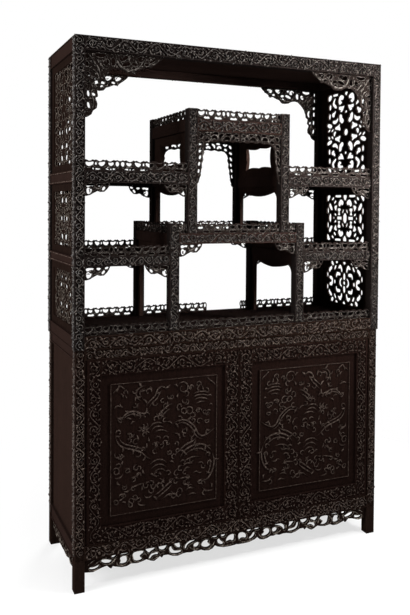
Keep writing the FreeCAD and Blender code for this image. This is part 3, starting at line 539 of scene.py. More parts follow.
def carve(name: str, strokes: Strokes, depth: float, width: float) -> bpy.types.Object:
    """Sweep strokes into one carved mesh that lies on its face, with outwards as Z, and mark its relief.

    Args:
        name: The new object's name.
        strokes: The lines to carve, in millimetres.
        depth: How far a stroke of the named width stands out, in millimetres.
        width: The half width that the depth belongs to.

    Returns:
        The mesh object.
    """
    outline = bpy.data.curves.new(name + "_section", "CURVE")
    outline.dimensions = "2D"
    ring = outline.splines.new("POLY")
    ring.points.add(len(RELIEF_SECTION) - 1)
    for corner, (across, out) in zip(ring.points, RELIEF_SECTION):
        corner.co = (across * MM, out * depth / width * MM, 0, 1)
    ring.use_cyclic_u = True
    tool = fresh_object(name + "_section", outline)
    path = bpy.data.curves.new(name, "CURVE")
    path.dimensions = "3D"
    path.twist_mode = "Z_UP"
    path.bevel_mode = "OBJECT"
    path.bevel_object = tool
    path.use_fill_caps = True
    for stroke in strokes:
        run = path.splines.new("POLY")
        run.points.add(len(stroke.points) - 1)
        for place, (u, v), half in zip(run.points, stroke.points, stroke.widths):
            place.co = (u * MM, v * MM, 0, 1)
            place.radius = half
    carving = fresh_object(name, path)
    bpy.ops.object.convert(target="MESH")
    bpy.data.objects.remove(tool)
    mark_relief(carving, 0.0, depth)
    return carving


def doubled_area(loop: list[Point]) -> float:
    """Twice the area inside a closed outline; negative when it runs clockwise."""
    return sum(u1 * v2 - u2 * v1 for (u1, v1), (u2, v2) in zip(loop, loop[1:] + loop[:1]))


# Level edges can confuse the fill, so a plate is filled at a slant, and again at another if that failed
FILL_SLANTS = (0.31, 0.73, 1.17)
FILL_TOLERANCE = 0.12


def plate(name: str, loops: list[list[Point]], thickness: float, edge: float) -> bpy.types.Object:
    """Cut a flat plate with rounded edges; loops inside the first one are holes.

    Args:
        name: The new object's name.
        loops: Closed outlines in millimetres.
        thickness: The plate's thickness in millimetres, half of it on each side of the face.
        edge: How much its edges are rounded, in millimetres.

    Returns:
        The mesh object.
    """
    room = [abs(doubled_area(loop)) / 2 for loop in loops]
    expected = (room[0] - sum(room[1:])) * MM * MM
    for slant in FILL_SLANTS:
        turn = Matrix.Rotation(slant, 4, "Z")
        flat = bpy.data.curves.new(name, "CURVE")
        flat.dimensions = "2D"
        flat.fill_mode = "BOTH"
        flat.extrude = (thickness / 2 - edge) * MM
        flat.bevel_depth = edge * MM
        flat.bevel_resolution = 1
        flat.offset = -edge * MM
        for loop in loops:
            run = flat.splines.new("POLY")
            run.points.add(len(loop) - 1)
            for place, (u, v) in zip(run.points, loop):
                place.co = (*(turn @ Vector((u * MM, v * MM, 0))), 1)
            run.use_cyclic_u = True
        made = fresh_object(name, flat)
        bpy.ops.object.convert(target="MESH")
        made.data.transform(turn.inverted())
        filled = sum(face.area for face in made.data.polygons if face.normal.z > 0.9)
        if abs(filled / expected - 1) < FILL_TOLERANCE:
            break
        LOG.warning("%s is filled to %.2f of its area at a slant of %.2f", name, filled / expected, slant)
        if slant != FILL_SLANTS[-1]:
            bpy.data.objects.remove(made)
    # A plate's faces lie a little way up the relief scale, below the crests that get the painted highlight
    mark_relief(made, -thickness, thickness * 3)
    return made


def box_loop(half_u: float, half_v: float, middle: Point = (0.0, 0.0)) -> list[Point]:
    """A rectangle's outline about a middle."""
    return [(middle[0] + a * half_u, middle[1] + b * half_v) for a, b in ((-1, -1), (1, -1), (1, 1), (-1, 1))]


def joined(name: str, parts: list[bpy.types.Object]) -> bpy.types.Object:
    """Join several mesh objects into one, under a name."""
    bpy.ops.object.select_all(action="DESELECT")
    for part in parts:
        part.select_set(True)
    bpy.context.view_layer.objects.active = parts[0]
    if len(parts) > 1:
        bpy.ops.object.join()
    made = bpy.context.view_layer.objects.active
    made.name = name
    made.data.name = name
    return made


@dataclass(frozen=True)
class Face:
    """A flat place for ornament: its origin, the way along it and the way it looks."""

    origin: Vector
    side: Side
    upright: bool = False

    def matrix(self) -> Matrix:
        """The transform from the drawing's plane to this face."""
        out = OUTWARD[self.side]
        along = UP if self.upright else RIGHTWARD[self.side]
        across = out.cross(along)
        turn = Matrix((along, across, out)).transposed()
        return Matrix.Translation(self.origin) @ turn.to_4x4()


def set_on(piece: bpy.types.Object, face: Face) -> bpy.types.Object:
    """Move a drawn piece's mesh to its face."""
    piece.data.transform(face.matrix())
    return piece


def dress(piece: bpy.types.Object, body: str, finish: Blackwood,
          replaced: tuple[str, ...] = ()) -> bpy.types.Object:
    """Finish a piece: its normals, shading, material, body, slot and the solids that it stands for.

    Args:
        piece: The mesh object, in place.
        body: The body that it rides on.
        finish: The wood's finish.
        replaced: Names of the solids that it replaces.

    Returns:
        The same object.
    """
    only(piece)
    bpy.ops.object.mode_set(mode="EDIT")
    bpy.ops.mesh.select_all(action="SELECT")
    bpy.ops.mesh.remove_doubles(threshold=MERGE)
    bpy.ops.mesh.normals_make_consistent(inside=False)
    bpy.ops.object.mode_set(mode="OBJECT")
    bpy.ops.object.shade_smooth_by_angle(angle=SMOOTH_BELOW)
    piece.data.materials.clear()
    piece.data.materials.append(finish.material())
    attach(piece, body)
    if replaced:
        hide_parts(*replaced)
    LOG.info("%s: %d faces on %s", piece.name, len(piece.data.polygons), body)
    return piece


def islands(node: str) -> list[np.ndarray]:
    """The separate solids of a grouped node.

    Args:
        node: The node's name.

    Returns:
        One array of points for each solid, in metres.
    """
    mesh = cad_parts[node].data
    places = np.array([vertex.co for vertex in mesh.vertices])
    keys = [tuple(key) for key in np.round(places / WELD).astype(int)]
    parent: dict[tuple, tuple] = {key: key for key in keys}

    def root(key: tuple) -> tuple:
        """The key that stands for a whole solid."""
        while parent[key] != key:
            parent[key] = parent[parent[key]]
            key = parent[key]
        return key

    for face in mesh.polygons:
        first = root(keys[face.vertices[0]])
        for corner in face.vertices[1:]:
            parent[root(keys[corner])] = first
    groups: dict[tuple, list[int]] = {}
    for at, key in enumerate(keys):
        groups.setdefault(root(key), []).append(at)
    return [places[group] for group in groups.values()]


def boxes_of(node: str) -> list[tuple[Vector, Vector]]:
    """The lowest and the highest corner of each separate solid of a grouped node."""
    return [(Vector(solid.min(0)), Vector(solid.max(0))) for solid in islands(node)]


@dataclass
class Solids:
    """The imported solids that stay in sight: their woods and their softened edges."""

    edge: float = 0.9 * MM

    def finish_of(self, node: str) -> Blackwood:
        """Choose a solid's wood by its name."""
        if "pivots" in node:
            return DOWEL
        if "door" in node:
            return DOOR
        if node.startswith(("cupboard_", "base_")) and node.endswith(("_post", "front_rail")):
            return CUPBOARD_GROUND
        if node.endswith(("_post", "_posts", "front_rail", "shelf_rails")):
            return GROUND
        if "rail" in node or node == "top_panel":
            return LENGTHWISE
        # Shelves and floors take the darker wood: painted shade
        if "shelf" in node or "floor" in node or node.endswith("_board"):
            return SHELF
        return UPRIGHT

    def dress(self) -> None:
        """Give every solid its finish, and round its edges."""
        for name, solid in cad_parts.items():
            solid.data.materials.clear()
            solid.data.materials.append(self.finish_of(name).material())
            weld = solid.modifiers.new("weld", "WELD")
            weld.merge_threshold = WELD
            bevel = solid.modifiers.new("bevel", "BEVEL")
            bevel.width = self.edge
            bevel.segments = 2
            bevel.limit_method = "ANGLE"
            bevel.angle_limit = BEVEL_ABOVE
        LOG.info("%d solids dressed", len(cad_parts))


def face_of(low: Vector, high: Vector, side: Side, upright: bool, sink: float) -> tuple[Face, float, float]:
    """The face of a straight member, from the box of its visible part.

    Args:
        low: The box's lowest corner.
        high: The box's highest corner.
        side: The way the face looks.
        upright: Whether the member stands.
        sink: How far the carved ground lies under the face.

    Returns:
        The face with its origin at the strip's start, and the strip's length and height in millimetres.
    """
    out = OUTWARD[side]
    along = UP if upright else RIGHTWARD[side]
    across = out.cross(along)
    origin = (low + high) / 2
    size = high - low
    for axis in range(3):
        if abs(along[axis]) > 0.5:
            origin[axis] = low[axis] if along[axis] > 0 else high[axis]
        if abs(out[axis]) > 0.5:
            origin[axis] = low[axis] if out[axis] < 0 else high[axis]
    length = abs(size.dot(along)) / MM
    height = abs(size.dot(across)) / MM
    return Face(origin - out * sink, side, upright), length, height


def copied(template: bpy.types.Object, face: Face) -> bpy.types.Object:
    """A copy of a drawn piece with a mesh of its own, set on a face."""
    made = fresh_object(template.name, template.data.copy())
    return set_on(made, face)


@dataclass
class VineCarving:
    """Running scroll carving on the sunk grounds of posts, rails and door frames."""

    edge: float = 3.0
    ground: float = 3.0
    proud: float = 2.2
    stem: float = 2.7
    leaf: float = 15.0
    clear: float = 6.4
    narrow: float = 36.0
    close: float = 0.95
    open: float = 1.2
    drawn: dict[tuple[int, int], bpy.types.Object] = field(default_factory=dict)

    def template(self, length: float, height: float) -> bpy.types.Object:
        """Draw a strip of vine once for each size.

        Args:
            length: The strip's length in millimetres.
            height: The strip's height in millimetres.

        Returns:
            The strip, lying on its face.
        """
        key = (round(length), round(height))
        if key not in self.drawn:
            room = height - self.edge
            pitch = room * (self.close if room < self.narrow else self.open)
            strokes = wandering_vine(length - self.edge, room, pitch, self.stem, sum(key), self.clear, self.leaf)
            strokes = mapped(strokes, shift=self.edge / 2)
            self.drawn[key] = carve("vine", strokes, self.ground + self.proud, self.stem)
        return self.drawn[key]

    def strip(self, low: Vector, high: Vector, side: Side, upright: bool = False) -> bpy.types.Object:
        """Carve one face of a member, given the box of its visible part."""
        face, length, height = face_of(low, high, side, upright, self.ground * MM)
        return copied(self.template(length, height), face)

    def remove_drawings(self) -> None:
        """Remove the drawn strips once every copy is made."""
        for made in self.drawn.values():
            bpy.data.objects.remove(made)
        self.drawn.clear()


def spread(low: tuple[float, float, float], high: tuple[float, float, float]) -> tuple[Vector, Vector]:
    """A box from two corners in any order."""
    return Vector(map(min, low, high)), Vector(map(max, low, high))


def keep_on(vines: bpy.types.Object, low: Vector, high: Vector, trim: float = 0.3 * MM) -> None:
    """Press leaves that hang over the edges of a front face back onto it.

    Args:
        vines: The carving, in place.
        low: The member's lower corner.
        high: Its upper corner.
        trim: How far inside the edges the carving ends.
    """
    places = points_of(vines)
    for axis in (0, 2):
        places[:, axis] = np.clip(places[:, axis], low[axis] + trim, high[axis] - trim)
    move_points(vines, places)


@dataclass
class Framing:
    """The carved posts and rails of the cupboard, the display section, the tower and the bridge."""

    vine: VineCarving
    leg_clear: float = 121.5 * MM

    def build(self) -> None:
        """Carve every framed part, one piece for each group."""
        self.main_posts()
        self.main_rails()
        self.shelf_rails()
        self.stand("tower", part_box("tower_aprons")[1].z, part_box("tower_top_board")[1].z)
        self.stand("bridge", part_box("bridge_side_panels")[1].z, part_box("middle_shelf")[1].z)
        self.cupboard()

    def finish(self, name: str, strips: list[bpy.types.Object], wood: Blackwood = CARVED) -> None:
        """Join strips into one piece and dress it."""
        dress(joined(name, strips), "carcass", wood)

    def main_posts(self) -> None:
        """Carve the outer faces of the four tall posts."""
        strips = []
        for face in (Side.FRONT, Side.BACK):
            for side in (Side.LEFT, Side.RIGHT):
                low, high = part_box(f"upper_{face.value}_{side.value}_post")
                strips.append(self.vine.strip(low, high, face, True))
                strips.append(self.vine.strip(low, high, side, True))
        self.finish("tall_posts_carving", strips)

    def main_rails(self) -> None:
        """Carve the front and back faces of the top and base rails."""
        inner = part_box("upper_front_right_post")[0].x
        for rail, wood in (("top", CARVED), ("base", CUPBOARD)):
            strips = []
            low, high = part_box(f"{rail}_front_rail")
            for side, y in ((Side.FRONT, low.y), (Side.BACK, -low.y)):
                strips.append(self.vine.strip(*spread((-inner, y, low.z), (inner, y, high.z)), side))
            self.finish(f"{rail}_rail_carving", strips, wood)

    def shelf_rails(self) -> None:
        """Carve the front and back rails of the side shelves."""
        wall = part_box("upper_front_right_post")[0].x
        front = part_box("side_shelf_rails")[0].y
        rails = {
            "lower": (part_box("bridge_posts")[1].x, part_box("lower_frets")[1].z),
            "upper": (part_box("tower_posts")[1].x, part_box("middle_frets")[1].z),
        }
        strips = []
        for level, (inner, low) in rails.items():
            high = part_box(f"left_{level}_shelf")[1].z
            for hand in (-1, 1):
                for side, y in ((Side.FRONT, front), (Side.BACK, -front)):
                    strips.append(self.vine.strip(*spread((hand * inner, y, low), (hand * wall, y, high)), side))
        self.finish("side_shelf_carving", strips)

    def stand(self, name: str, low: float, high: float) -> None:
        """Carve a stand's posts and top rails, front and back.

        Args:
            name: tower or bridge.
            low: The top rails' lower edge.
            high: The top rails' upper edge.
        """
        foot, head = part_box(f"{name}_posts")
        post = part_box("upper_front_right_post")
        wide = post[1].x - post[0].x
        strips = []
        for side, y in ((Side.FRONT, foot.y), (Side.BACK, head.y)):
            for hand in (-1, 1):
                box = spread((hand * head.x, y, foot.z), (hand * (head.x - wide), y, head.z))
                strips.append(self.vine.strip(*box, side, True))
            inner = head.x - wide
            strips.append(self.vine.strip(*spread((-inner, y, low), (inner, y, high)), side))
        self.finish(f"{name}_carving", strips)

    def cupboard(self) -> None:
        """Carve the cupboard's posts and its two front rails."""
        strips = []
        for face in (Side.FRONT, Side.BACK):
            for side in (Side.LEFT, Side.RIGHT):
                low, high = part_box(f"cupboard_{face.value}_{side.value}_post")
                low.z = self.leg_clear
                strips.append(self.vine.strip(low, high, side, True))
                if face is Side.FRONT:
                    strips.append(self.vine.strip(low, high, face, True))
                    keep_on(strips[-1], low, high)
        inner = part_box("cupboard_front_right_post")[0].x
        for node in ("cupboard_top_front_rail", "cupboard_bottom_front_rail"):
            low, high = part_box(node)
            strips.append(self.vine.strip(*spread((-inner, low.y, low.z), (inner, low.y, high.z)), Side.FRONT))
            keep_on(strips[-1], low, high)
        self.finish("cupboard_carving", strips, CUPBOARD)


Opening = tuple[float, list[Point]]


def ribbon(stroke: Stroke) -> list[Point]:
    """The closed outline of a stroke."""
    places = np.array(stroke.points)
    runs = np.gradient(places, axis=0)
    left, right = [], []
    for (u, v), (du, dv), half in zip(places, runs, stroke.widths):
        across = half / (math.hypot(du, dv) or 1.0)
        left.append((float(u - dv * across), float(v + du * across)))
        right.append((float(u + dv * across), float(v - du * across)))
    return left + right[::-1]


def rounded(corners: list[Point]) -> list[Point]:
    """An outline with every corner cut off once."""
    loop = []
    for (u, v), (next_u, next_v) in zip(corners, corners[1:] + corners[:1]):
        loop += [(u * 0.75 + next_u * 0.25, v * 0.75 + next_v * 0.25),
                 (u * 0.25 + next_u * 0.75, v * 0.25 + next_v * 0.75)]
    return loop


def opening(half: float, points: list[Point]) -> list[Point]:
    """The outline of one opening.

    Args:
        half: Half the width of a slit along the points, or zero where the points are the outline's corners.
        points: The opening's points in millimetres.

    Returns:
        The closed outline.
    """
    return ribbon(flowing(points, half, 3, 0.55)) if half else rounded(points)


def swollen(loop: list[Point], by: float) -> list[Point]:
    """An outline moved outwards by some millimetres."""
    places = np.array(loop)
    ahead, behind = np.roll(places, -1, axis=0), np.roll(places, 1, axis=0)
    runs = ahead - behind
    lengths = np.maximum(np.hypot(runs[:, 0], runs[:, 1]), 1e-6)
    out = math.copysign(by, doubled_area(loop))
    moved = places + out * np.stack([runs[:, 1], -runs[:, 0]], 1) / lengths[:, None]
    return [(float(u), float(v)) for u, v in moved]


# An opening whose middle is this close to an axis lies on it
ON_AXIS = 6.0


def mirrored(openings: list[Opening]) -> list[Opening]:
    """Openings of one quarter, and their mirror images in the others; those on an axis are not doubled."""
    everywhere: list[Opening] = []
    for half, points in openings:
        mean_u = abs(sum(u for u, _ in points)) / len(points)
        mean_v = abs(sum(v for _, v in points)) / len(points)
        for along in (1, -1) if mean_u > ON_AXIS else (1,):
            for across in (1, -1) if mean_v > ON_AXIS else (1,):
                everywhere.append((half, [(u * along, v * across) for u, v in points]))
    return everywhere


@dataclass(frozen=True)
class PiercedWork:
    """How a plate is pierced: its thickness, its edges, each opening's bead and how much wider it is cut."""

    thick: float
    edge: float = 1.6
    bead: float = 1.5
    bead_rise: float = 1.6
    bead_gap: float = 2.2
    grow: float = 0.0

    def cut(self, name: str, outline: list[Point], holes: list[list[Point]], relief: Strokes) -> bpy.types.Object:
        """Pierce a plate and carve both of its faces.

        Args:
            name: The new object's name.
            outline: The plate's outline in millimetres.
            holes: The openings' outlines.
            relief: Other raised lines on both faces.

        Returns:
            The plate, lying on its face.
        """
        holes = [swollen(hole, self.grow) for hole in holes]
        rims = [swollen(hole, self.bead_gap) for hole in holes]
        beads = [Stroke(tuple(rim + rim[:1]), (self.bead,) * (len(rim) + 1)) for rim in rims]
        parts = [plate(name, [outline, *holes], self.thick, self.edge)]
        for turn in (0.0, math.pi):
            raised = carve(name + "_beads", beads + relief, self.bead_rise, self.bead)
            # The back is the front turned about the upright line, so its lines are mirrored first
            if turn:
                raised.data.transform(Matrix.Diagonal((-1, 1, 1, 1)))
                raised.data.flip_normals()
            lift = Matrix.Translation((0, 0, self.thick / 2 * MM))
            raised.data.transform(Matrix.Rotation(turn, 4, "Y") @ lift)
            parts.append(raised)
        return joined(name, parts)


@dataclass
class SideMouldings:
    """Thin bead lines along the plain rails of both side walls."""

    nodes: tuple[str, ...] = ("top_rails", "base_rails", "side_shelf_end_rails", "cupboard_frame_rails")
    inset: float = 5.0
    half: float = 1.6
    rise: float = 1.3

    def build(self) -> None:
        """Lay a line near the upper and the lower edge of every rail that runs from front to back."""
        parts = []
        for node in self.nodes:
            for low, high in boxes_of(node):
                if high.y - low.y < high.x - low.x:
                    continue
                side = Side.LEFT if low.x < 0 else Side.RIGHT
                face, length, height = face_of(low, high, side, False, 0.0)
                level = height / 2 - self.inset
                beads = [line((0, v), (length, v), self.half) for v in (-level, level)]
                parts.append(set_on(carve("side_bead", beads, self.rise, self.half), face))
        dress(joined("side_beads", parts), "carcass", UPRIGHT)


# One unit of a gallery: its crest, its openings and its raised lines
FENCE_CREST: list[Point] = [
    (0, 35), (4, 37), (9, 35), (14, 32), (20, 33), (26, 37), (31, 35), (36, 37), (42, 34), (47, 31), (53, 33),
    (58, 37), (64, 35), (69, 37), (75, 33), (81, 31), (87, 34), (92, 37), (98, 35), (104, 37), (109, 34)]
FENCE_OPENINGS: list[Opening] = [
    (0, [(4, 28), (17, 26), (29, 30), (28, 21), (20, 16), (12, 14), (5, 20)]),
    (0, [(23, 3), (51, 3), (44, 11), (36, 8), (30, 12)]),
    (0, [(44, 26), (55, 28), (66, 30), (62, 20), (54, 14), (46, 19)]),
    (0, [(65, 3), (99, 3), (91, 11), (80, 8), (72, 12)]),
    (0, [(75, 27), (84, 26), (91, 29), (92, 22), (84, 16), (76, 20)]),
    (0, [(99, 30), (108, 30), (109, 19), (102, 14), (98, 21)]), (2.4, [(36, 27), (36, 19)])]
FENCE_RIDGES: list[list[Point]] = [
    [(1, 28), (2, 14), (12, 8), (22, 13), (31, 20), (32, 32)], [(33, 15), (41, 14), (40, 24), (41, 32)],
    [(52, 9), (60, 11), (69, 17), (71, 32)], [(70, 15), (82, 13), (94, 15), (95, 31)],
    [(96, 13), (103, 9), (111, 12)]]


@dataclass
class Galleries:
    """The low pierced fences round the shelves: repeated curls and leaves over a plain foot."""

    unit: float = 112.0
    tall: float = 37.0
    end_tall: float = 29.0
    ridge_half: float = 1.3
    work: PiercedWork = PiercedWork(5.0, 0.9, 1.1, 1.2, 1.4, 0.5)
    back_stops: Point = (50.0, 210.0)
    back_reach: float = 300.0

    def placed(self, points: list[Point], at: int, room: float, lift: float) -> list[Point]:
        """Set points of the drawn unit in their place along a fence.

        Args:
            points: The points as drawn.
            at: The unit's number; every other unit is mirrored.
            room: A unit's length on this fence.
            lift: The fence's height, as a share of the drawn height.

        Returns:
            The points along the fence, in millimetres.
        """
        stretch = room / self.unit
        return [(at * room + (self.unit - u if at % 2 else u) * stretch, v * lift) for u, v in points]

    def template(self, length: float, height: float) -> bpy.types.Object:
        """Draw a fence of one length, standing on zero."""
        count = max(1, round(length / self.unit))
        room, lift = length / count, height / self.tall
        top: list[Point] = []
        holes: list[list[Point]] = []
        relief: Strokes = []
        for at in range(count):
            top += self.placed(FENCE_CREST[::-1] if at % 2 else FENCE_CREST, at, room, lift)
            holes += [self.placed(opening(half, points), at, room, lift) for half, points in FENCE_OPENINGS]
            relief += [flowing(self.placed(ridge, at, room, lift), self.ridge_half, 2) for ridge in FENCE_RIDGES]
        end = self.end_tall * lift
        outline = [(0.0, 0.0), (length, 0.0), (length, end), *top[:0:-1], (0.0, end)]
        return self.work.cut("fence", outline, holes, relief)

    def build(self) -> None:
        """Stand a fence in the place of every gallery solid."""
        for node in ("floor_galleries", "side_shelf_galleries", "middle_shelf_galleries", "tower_galleries"):
            parts = []
            for low, high in boxes_of(node):
                # Behind the middle shelf the left fence is long and the right one short
                if node == "floor_galleries" and low.y > 0 and max(-low.x, high.x) < self.back_reach * MM:
                    if low.x < 0:
                        high.x = self.back_stops[0] * MM
                    else:
                        low.x = self.back_stops[1] * MM
                size = (high - low) / MM
                if size.x > size.y:
                    face = Face(Vector((low.x, (low.y + high.y) / 2, low.z)), Side.FRONT)
                else:
                    face = Face(Vector(((low.x + high.x) / 2, low.y, low.z)), Side.RIGHT)
                parts.append(set_on(self.template(max(size.x, size.y), size.z), face))
            dress(joined(node.replace("galleries", "fences"), parts), "carcass", PIERCED, (node,))


class FretKind(Enum):
    """The three designs of the side frets."""

    TALL = "tall_frets"
    MIDDLE = "middle_frets"
    LOWER = "lower_frets"


# Openings in the upper right quarter of each fret, in millimetres from its middle
FRET_OPENINGS: dict[FretKind, list[Opening]] = {
    FretKind.TALL: [
        (0, [(-16, 0), (-12, 9), (-2, 13), (9, 10), (14, 0), (9, -10), (-2, -13), (-12, -9)]),
        (0, [(28, 74), (41, 81), (54, 77), (51, 54), (42, 46), (28, 40), (14, 48), (19, 58), (28, 63)]),
        (0, [(43, 41), (56, 36), (65, 31), (84, 27), (86, 20), (65, 17), (56, 15), (43, 10), (38, 18), (47, 27)]),
        (0, [(72, 8), (87, 9), (97, 4), (94, -9), (85, -12), (77, -2)]),
        (0, [(60, 69), (70, 63), (79, 57), (94, 57), (107, 55), (98, 45), (79, 43), (64, 50), (57, 60)]),
        (0, [(74, 94), (86, 101), (92, 93), (107, 91), (112, 82), (100, 73), (84, 76), (86, 84)]),
        (8, [(125, 89), (125, 67)]), (9, [(122, 129), (122, 108)]),
        (0, [(78, 154), (87, 156), (103, 143), (107, 130), (94, 118), (78, 110), (68, 112), (74, 122), (87, 130),
             (86, 140)]),
        (0, [(14, 151), (26, 160), (46, 163), (58, 153), (62, 133), (49, 122), (36, 127), (28, 131), (39, 136),
             (37, 144), (23, 142)]),
        (0, [(10, 117), (26, 112), (59, 115), (56, 102), (41, 101), (47, 93), (28, 90), (18, 102)]),
        (7.5, [(0, 92), (0, 84)]), (0, [(-16, 172), (16, 172), (0, 155)]), (4, [(61, 168), (103, 169)]),
        (0, [(105, 171), (139, 171), (139, 148), (116, 148)]),
        (0, [(101, 35), (121, 45), (143, 47), (147, 38), (130, 29), (112, 27)]), (3.8, [(94, 20), (112, 11)]),
        (4.4, [(119, 21), (138, 12)]),
    ],
    FretKind.MIDDLE: [
        (0, [(-14, 20), (14, 20), (14, -20), (-14, -20)]),
        (0, [(24, 7), (32, 5), (52, 5), (60, 7), (60, -7), (52, -5), (32, -5), (24, -7)]),
        (0, [(31, 41), (57, 41), (57, 34), (51, 30), (51, 22), (57, 14), (33, 14), (39, 22), (39, 30), (31, 34)]),
        (4.6, [(10, 37), (20, 22)]),
        (0, [(8, 66), (17, 76), (35, 81), (49, 70), (53, 57), (41, 50), (32, 55), (29, 61), (20, 54)]),
        (0, [(-14, 100), (14, 100), (13, 87), (0, 74), (-13, 87)]), (4.4, [(28, 95), (77, 96)]),
        (0, [(57, 56), (86, 51), (80, 38), (67, 29), (63, 42)]), (5, [(67, 75), (85, 64)]),
        (4.6, [(84, 88), (102, 80)]), (0, [(92, 38), (108, 62), (121, 64), (126, 54), (114, 38), (98, 34)]),
        (0, [(104, 19), (118, 17), (125, 0), (118, -17), (104, -19)]),
        (0, [(108, 100), (138, 100), (139, 72), (124, 76)]), (3.8, [(65, 12), (81, 18)]),
        (4.6, [(80, 0), (89, 0)]), (6, [(130, 44), (130, 20)]),
    ],
    FretKind.LOWER: [
        (0, [(-9, 42), (7, 42), (10, 14), (-10, 14)]), (0, [(-8, 6), (8, 6), (8, -6), (-8, -6)]),
        (0, [(14, 21), (25, 20), (38, 8), (38, -8), (25, -17), (12, -17), (25, -6), (25, 8)]),
        (0, [(27, 41), (57, 44), (65, 32), (64, 20), (53, 21), (54, 31), (27, 31)]),
        (0, [(12, 48), (14, 63), (24, 77), (39, 75), (50, 60), (39, 61), (31, 63), (26, 55), (23, 45)]),
        (0, [(-15, 91), (15, 91), (0, 77)]), (0, [(42, 91), (71, 89), (59, 79)]),
        (0, [(91, 64), (103, 66), (119, 55), (122, 43), (111, 37), (104, 48), (93, 54)]),
        (5.6, [(61, 72), (76, 54)]), (0, [(76, 77), (92, 91), (106, 82), (88, 68)]),
        (0, [(84, 19), (116, 22), (116, 11), (99, 7), (99, -5), (116, -10), (115, -20), (85, -18)]),
        (7, [(72, 7), (72, -7)]), (6, [(128, 37), (128, 17)]),
    ],
}


@dataclass
class Frets:
    """The pierced panels of the side walls: curling openings in four alike quarters inside a plain border."""

    work: PiercedWork = PiercedWork(4.0, 0.8, 1.4, 1.4, 1.7, 1.2)
    tuck: float = 4.0
    border: float = 27.0
    border_thick: float = 14.0
    border_edge: float = 1.5

    def panel(self, half_u: float, half_v: float, kind: FretKind) -> bpy.types.Object:
        """Make one whole panel about its middle.

        Args:
            half_u: Half the panel's width.
            half_v: Half the panel's height.
            kind: The panel's design.

        Returns:
            The panel, lying on its face.
        """
        holes = [opening(half, points) for half, points in mirrored(FRET_OPENINGS[kind])]
        sheet = self.work.cut("fret_sheet", box_loop(half_u - self.tuck, half_v - self.tuck), holes, [])
        inner = box_loop(half_u - self.border, half_v - self.border)
        rim = plate("fret_border", [box_loop(half_u, half_v), inner], self.border_thick, self.border_edge)
        return joined("fret", [rim, sheet])

    def build(self) -> None:
        """Set both panels of each design in the place of their solids."""
        for kind in FretKind:
            parts = []
            for low, high in boxes_of(kind.value):
                size = (high - low) / MM
                side = Side.LEFT if low.x < 0 else Side.RIGHT
                parts.append(set_on(self.panel(size.y / 2, size.z / 2, kind), Face((low + high) / 2, side)))
            dress(joined(kind.value.replace("frets", "fret_panels"), parts), "carcass", FRETTED,
                  (kind.value,))


@dataclass(frozen=True)
class Ornament:
    """One pierced ornament as it is drawn: its outline, openings and raised lines, in millimetres."""

    outline: list[Point]
    openings: list[Opening]
    lines: list[Opening]

    def scaled(self, along: float, across: float = 1.0) -> "Ornament":
        """A copy of another size, or mirrored when a share is negative."""
        def sized(points: list[Point]) -> list[Point]:
            """The same points in the new size."""
            return [(u * along, v * across) for u, v in points]

        return Ornament(sized(self.outline), [(half, sized(points)) for half, points in self.openings],
                        [(half, sized(points)) for half, points in self.lines])

    def cut(self, name: str, work: PiercedWork, relief: Strokes) -> bpy.types.Object:
        """Pierce and carve the ornament as one plate."""
        holes = [opening(half, points) for half, points in self.openings]
        raised = [flowing(points, half, 3) for half, points in self.lines]
        return work.cut(name, self.outline, holes, raised + relief)


# A large corner piece, from the corner of post and rail, running right and down
TOP_CORNER = Ornament(
    [(0, 0), (284, 0), (277, -10), (265, -20), (246, -33), (238, -42), (222, -40), (205, -48), (191, -52),
     (180, -64), (164, -67), (145, -64), (130, -56), (112, -53), (96, -56), (78, -71), (64, -88), (56, -108),
     (54, -122), (43, -130), (47, -148), (38, -158), (45, -176), (43, -191), (30, -201), (24, -214), (12, -222),
     (0, -226)],
    [(0, [(226, -7), (257, -9), (243, -20), (231, -24)]), (3.4, [(214, -30), (227, -32)]),
     (0, [(186, -7), (214, -7), (208, -18), (192, -25)]), (5, [(167, -55), (177, -46)]), (4, [(168, -32), (184, -35)]),
     (0, [(114, -7), (158, -7), (144, -20), (126, -27)]), (5, [(134, -40), (148, -34), (160, -31)]),
     (6, [(97, -20), (101, -30), (98, -42)]), (9, [(70, -30), (80, -38)]),
     (4.5, [(37, -10), (54, -13), (72, -9)]), (5, [(6, -12), (9, -24)]), (4.5, [(6, -38), (8, -52)]),
     (4.4, [(36, -92), (42, -106), (37, -119)]), (4, [(6, -75), (17, -82)]), (4.6, [(10, -98), (12, -114)]),
     (3.6, [(27, -143), (36, -148)]), (3.2, [(12, -135), (14, -152)]), (3.4, [(12, -174), (16, -192)])],
    [(3.4, [(108, -4), (112, -22), (126, -44), (150, -56), (182, -50), (198, -36), (206, -22)]),
     (3.0, [(16, -12), (30, -34), (48, -58), (54, -84)]), (2.6, [(24, -60), (36, -66), (48, -84), (48, -104)]),
     (2.6, [(46, -24), (60, -48), (74, -58), (88, -48)]), (2.4, [(214, -20), (234, -30), (250, -26), (268, -8)]),
     (2.4, [(22, -104), (28, -126), (22, -140), (30, -164), (28, -190), (14, -210)])])

# A small bracket under a shelf, drawn the same way
BRACKET = Ornament(
    [(0, 0), (92, 0), (88, -11), (80, -22), (70, -31), (56, -32), (46, -29), (32, -36), (20, -43), (8, -46), (0, -46)],
    [(0, [(7, -5), (35, -5), (31, -12), (22, -10), (14, -15), (8, -13)]), (0, [(41, -5), (61, -5), (52, -14)]),
     (0, [(9, -20), (17, -18), (20, -24), (27, -23), (24, -34), (14, -40), (9, -34)]),
     (3.5, [(64, -25), (72, -15)]), (2.8, [(74, -7), (85, -4)])],
    [(2.2, [(36, -16), (44, -20), (56, -18), (62, -10)]), (2.0, [(30, -32), (38, -25), (50, -26), (60, -27)]),
     (2.0, [(33, -9), (36, -16), (31, -20)])])

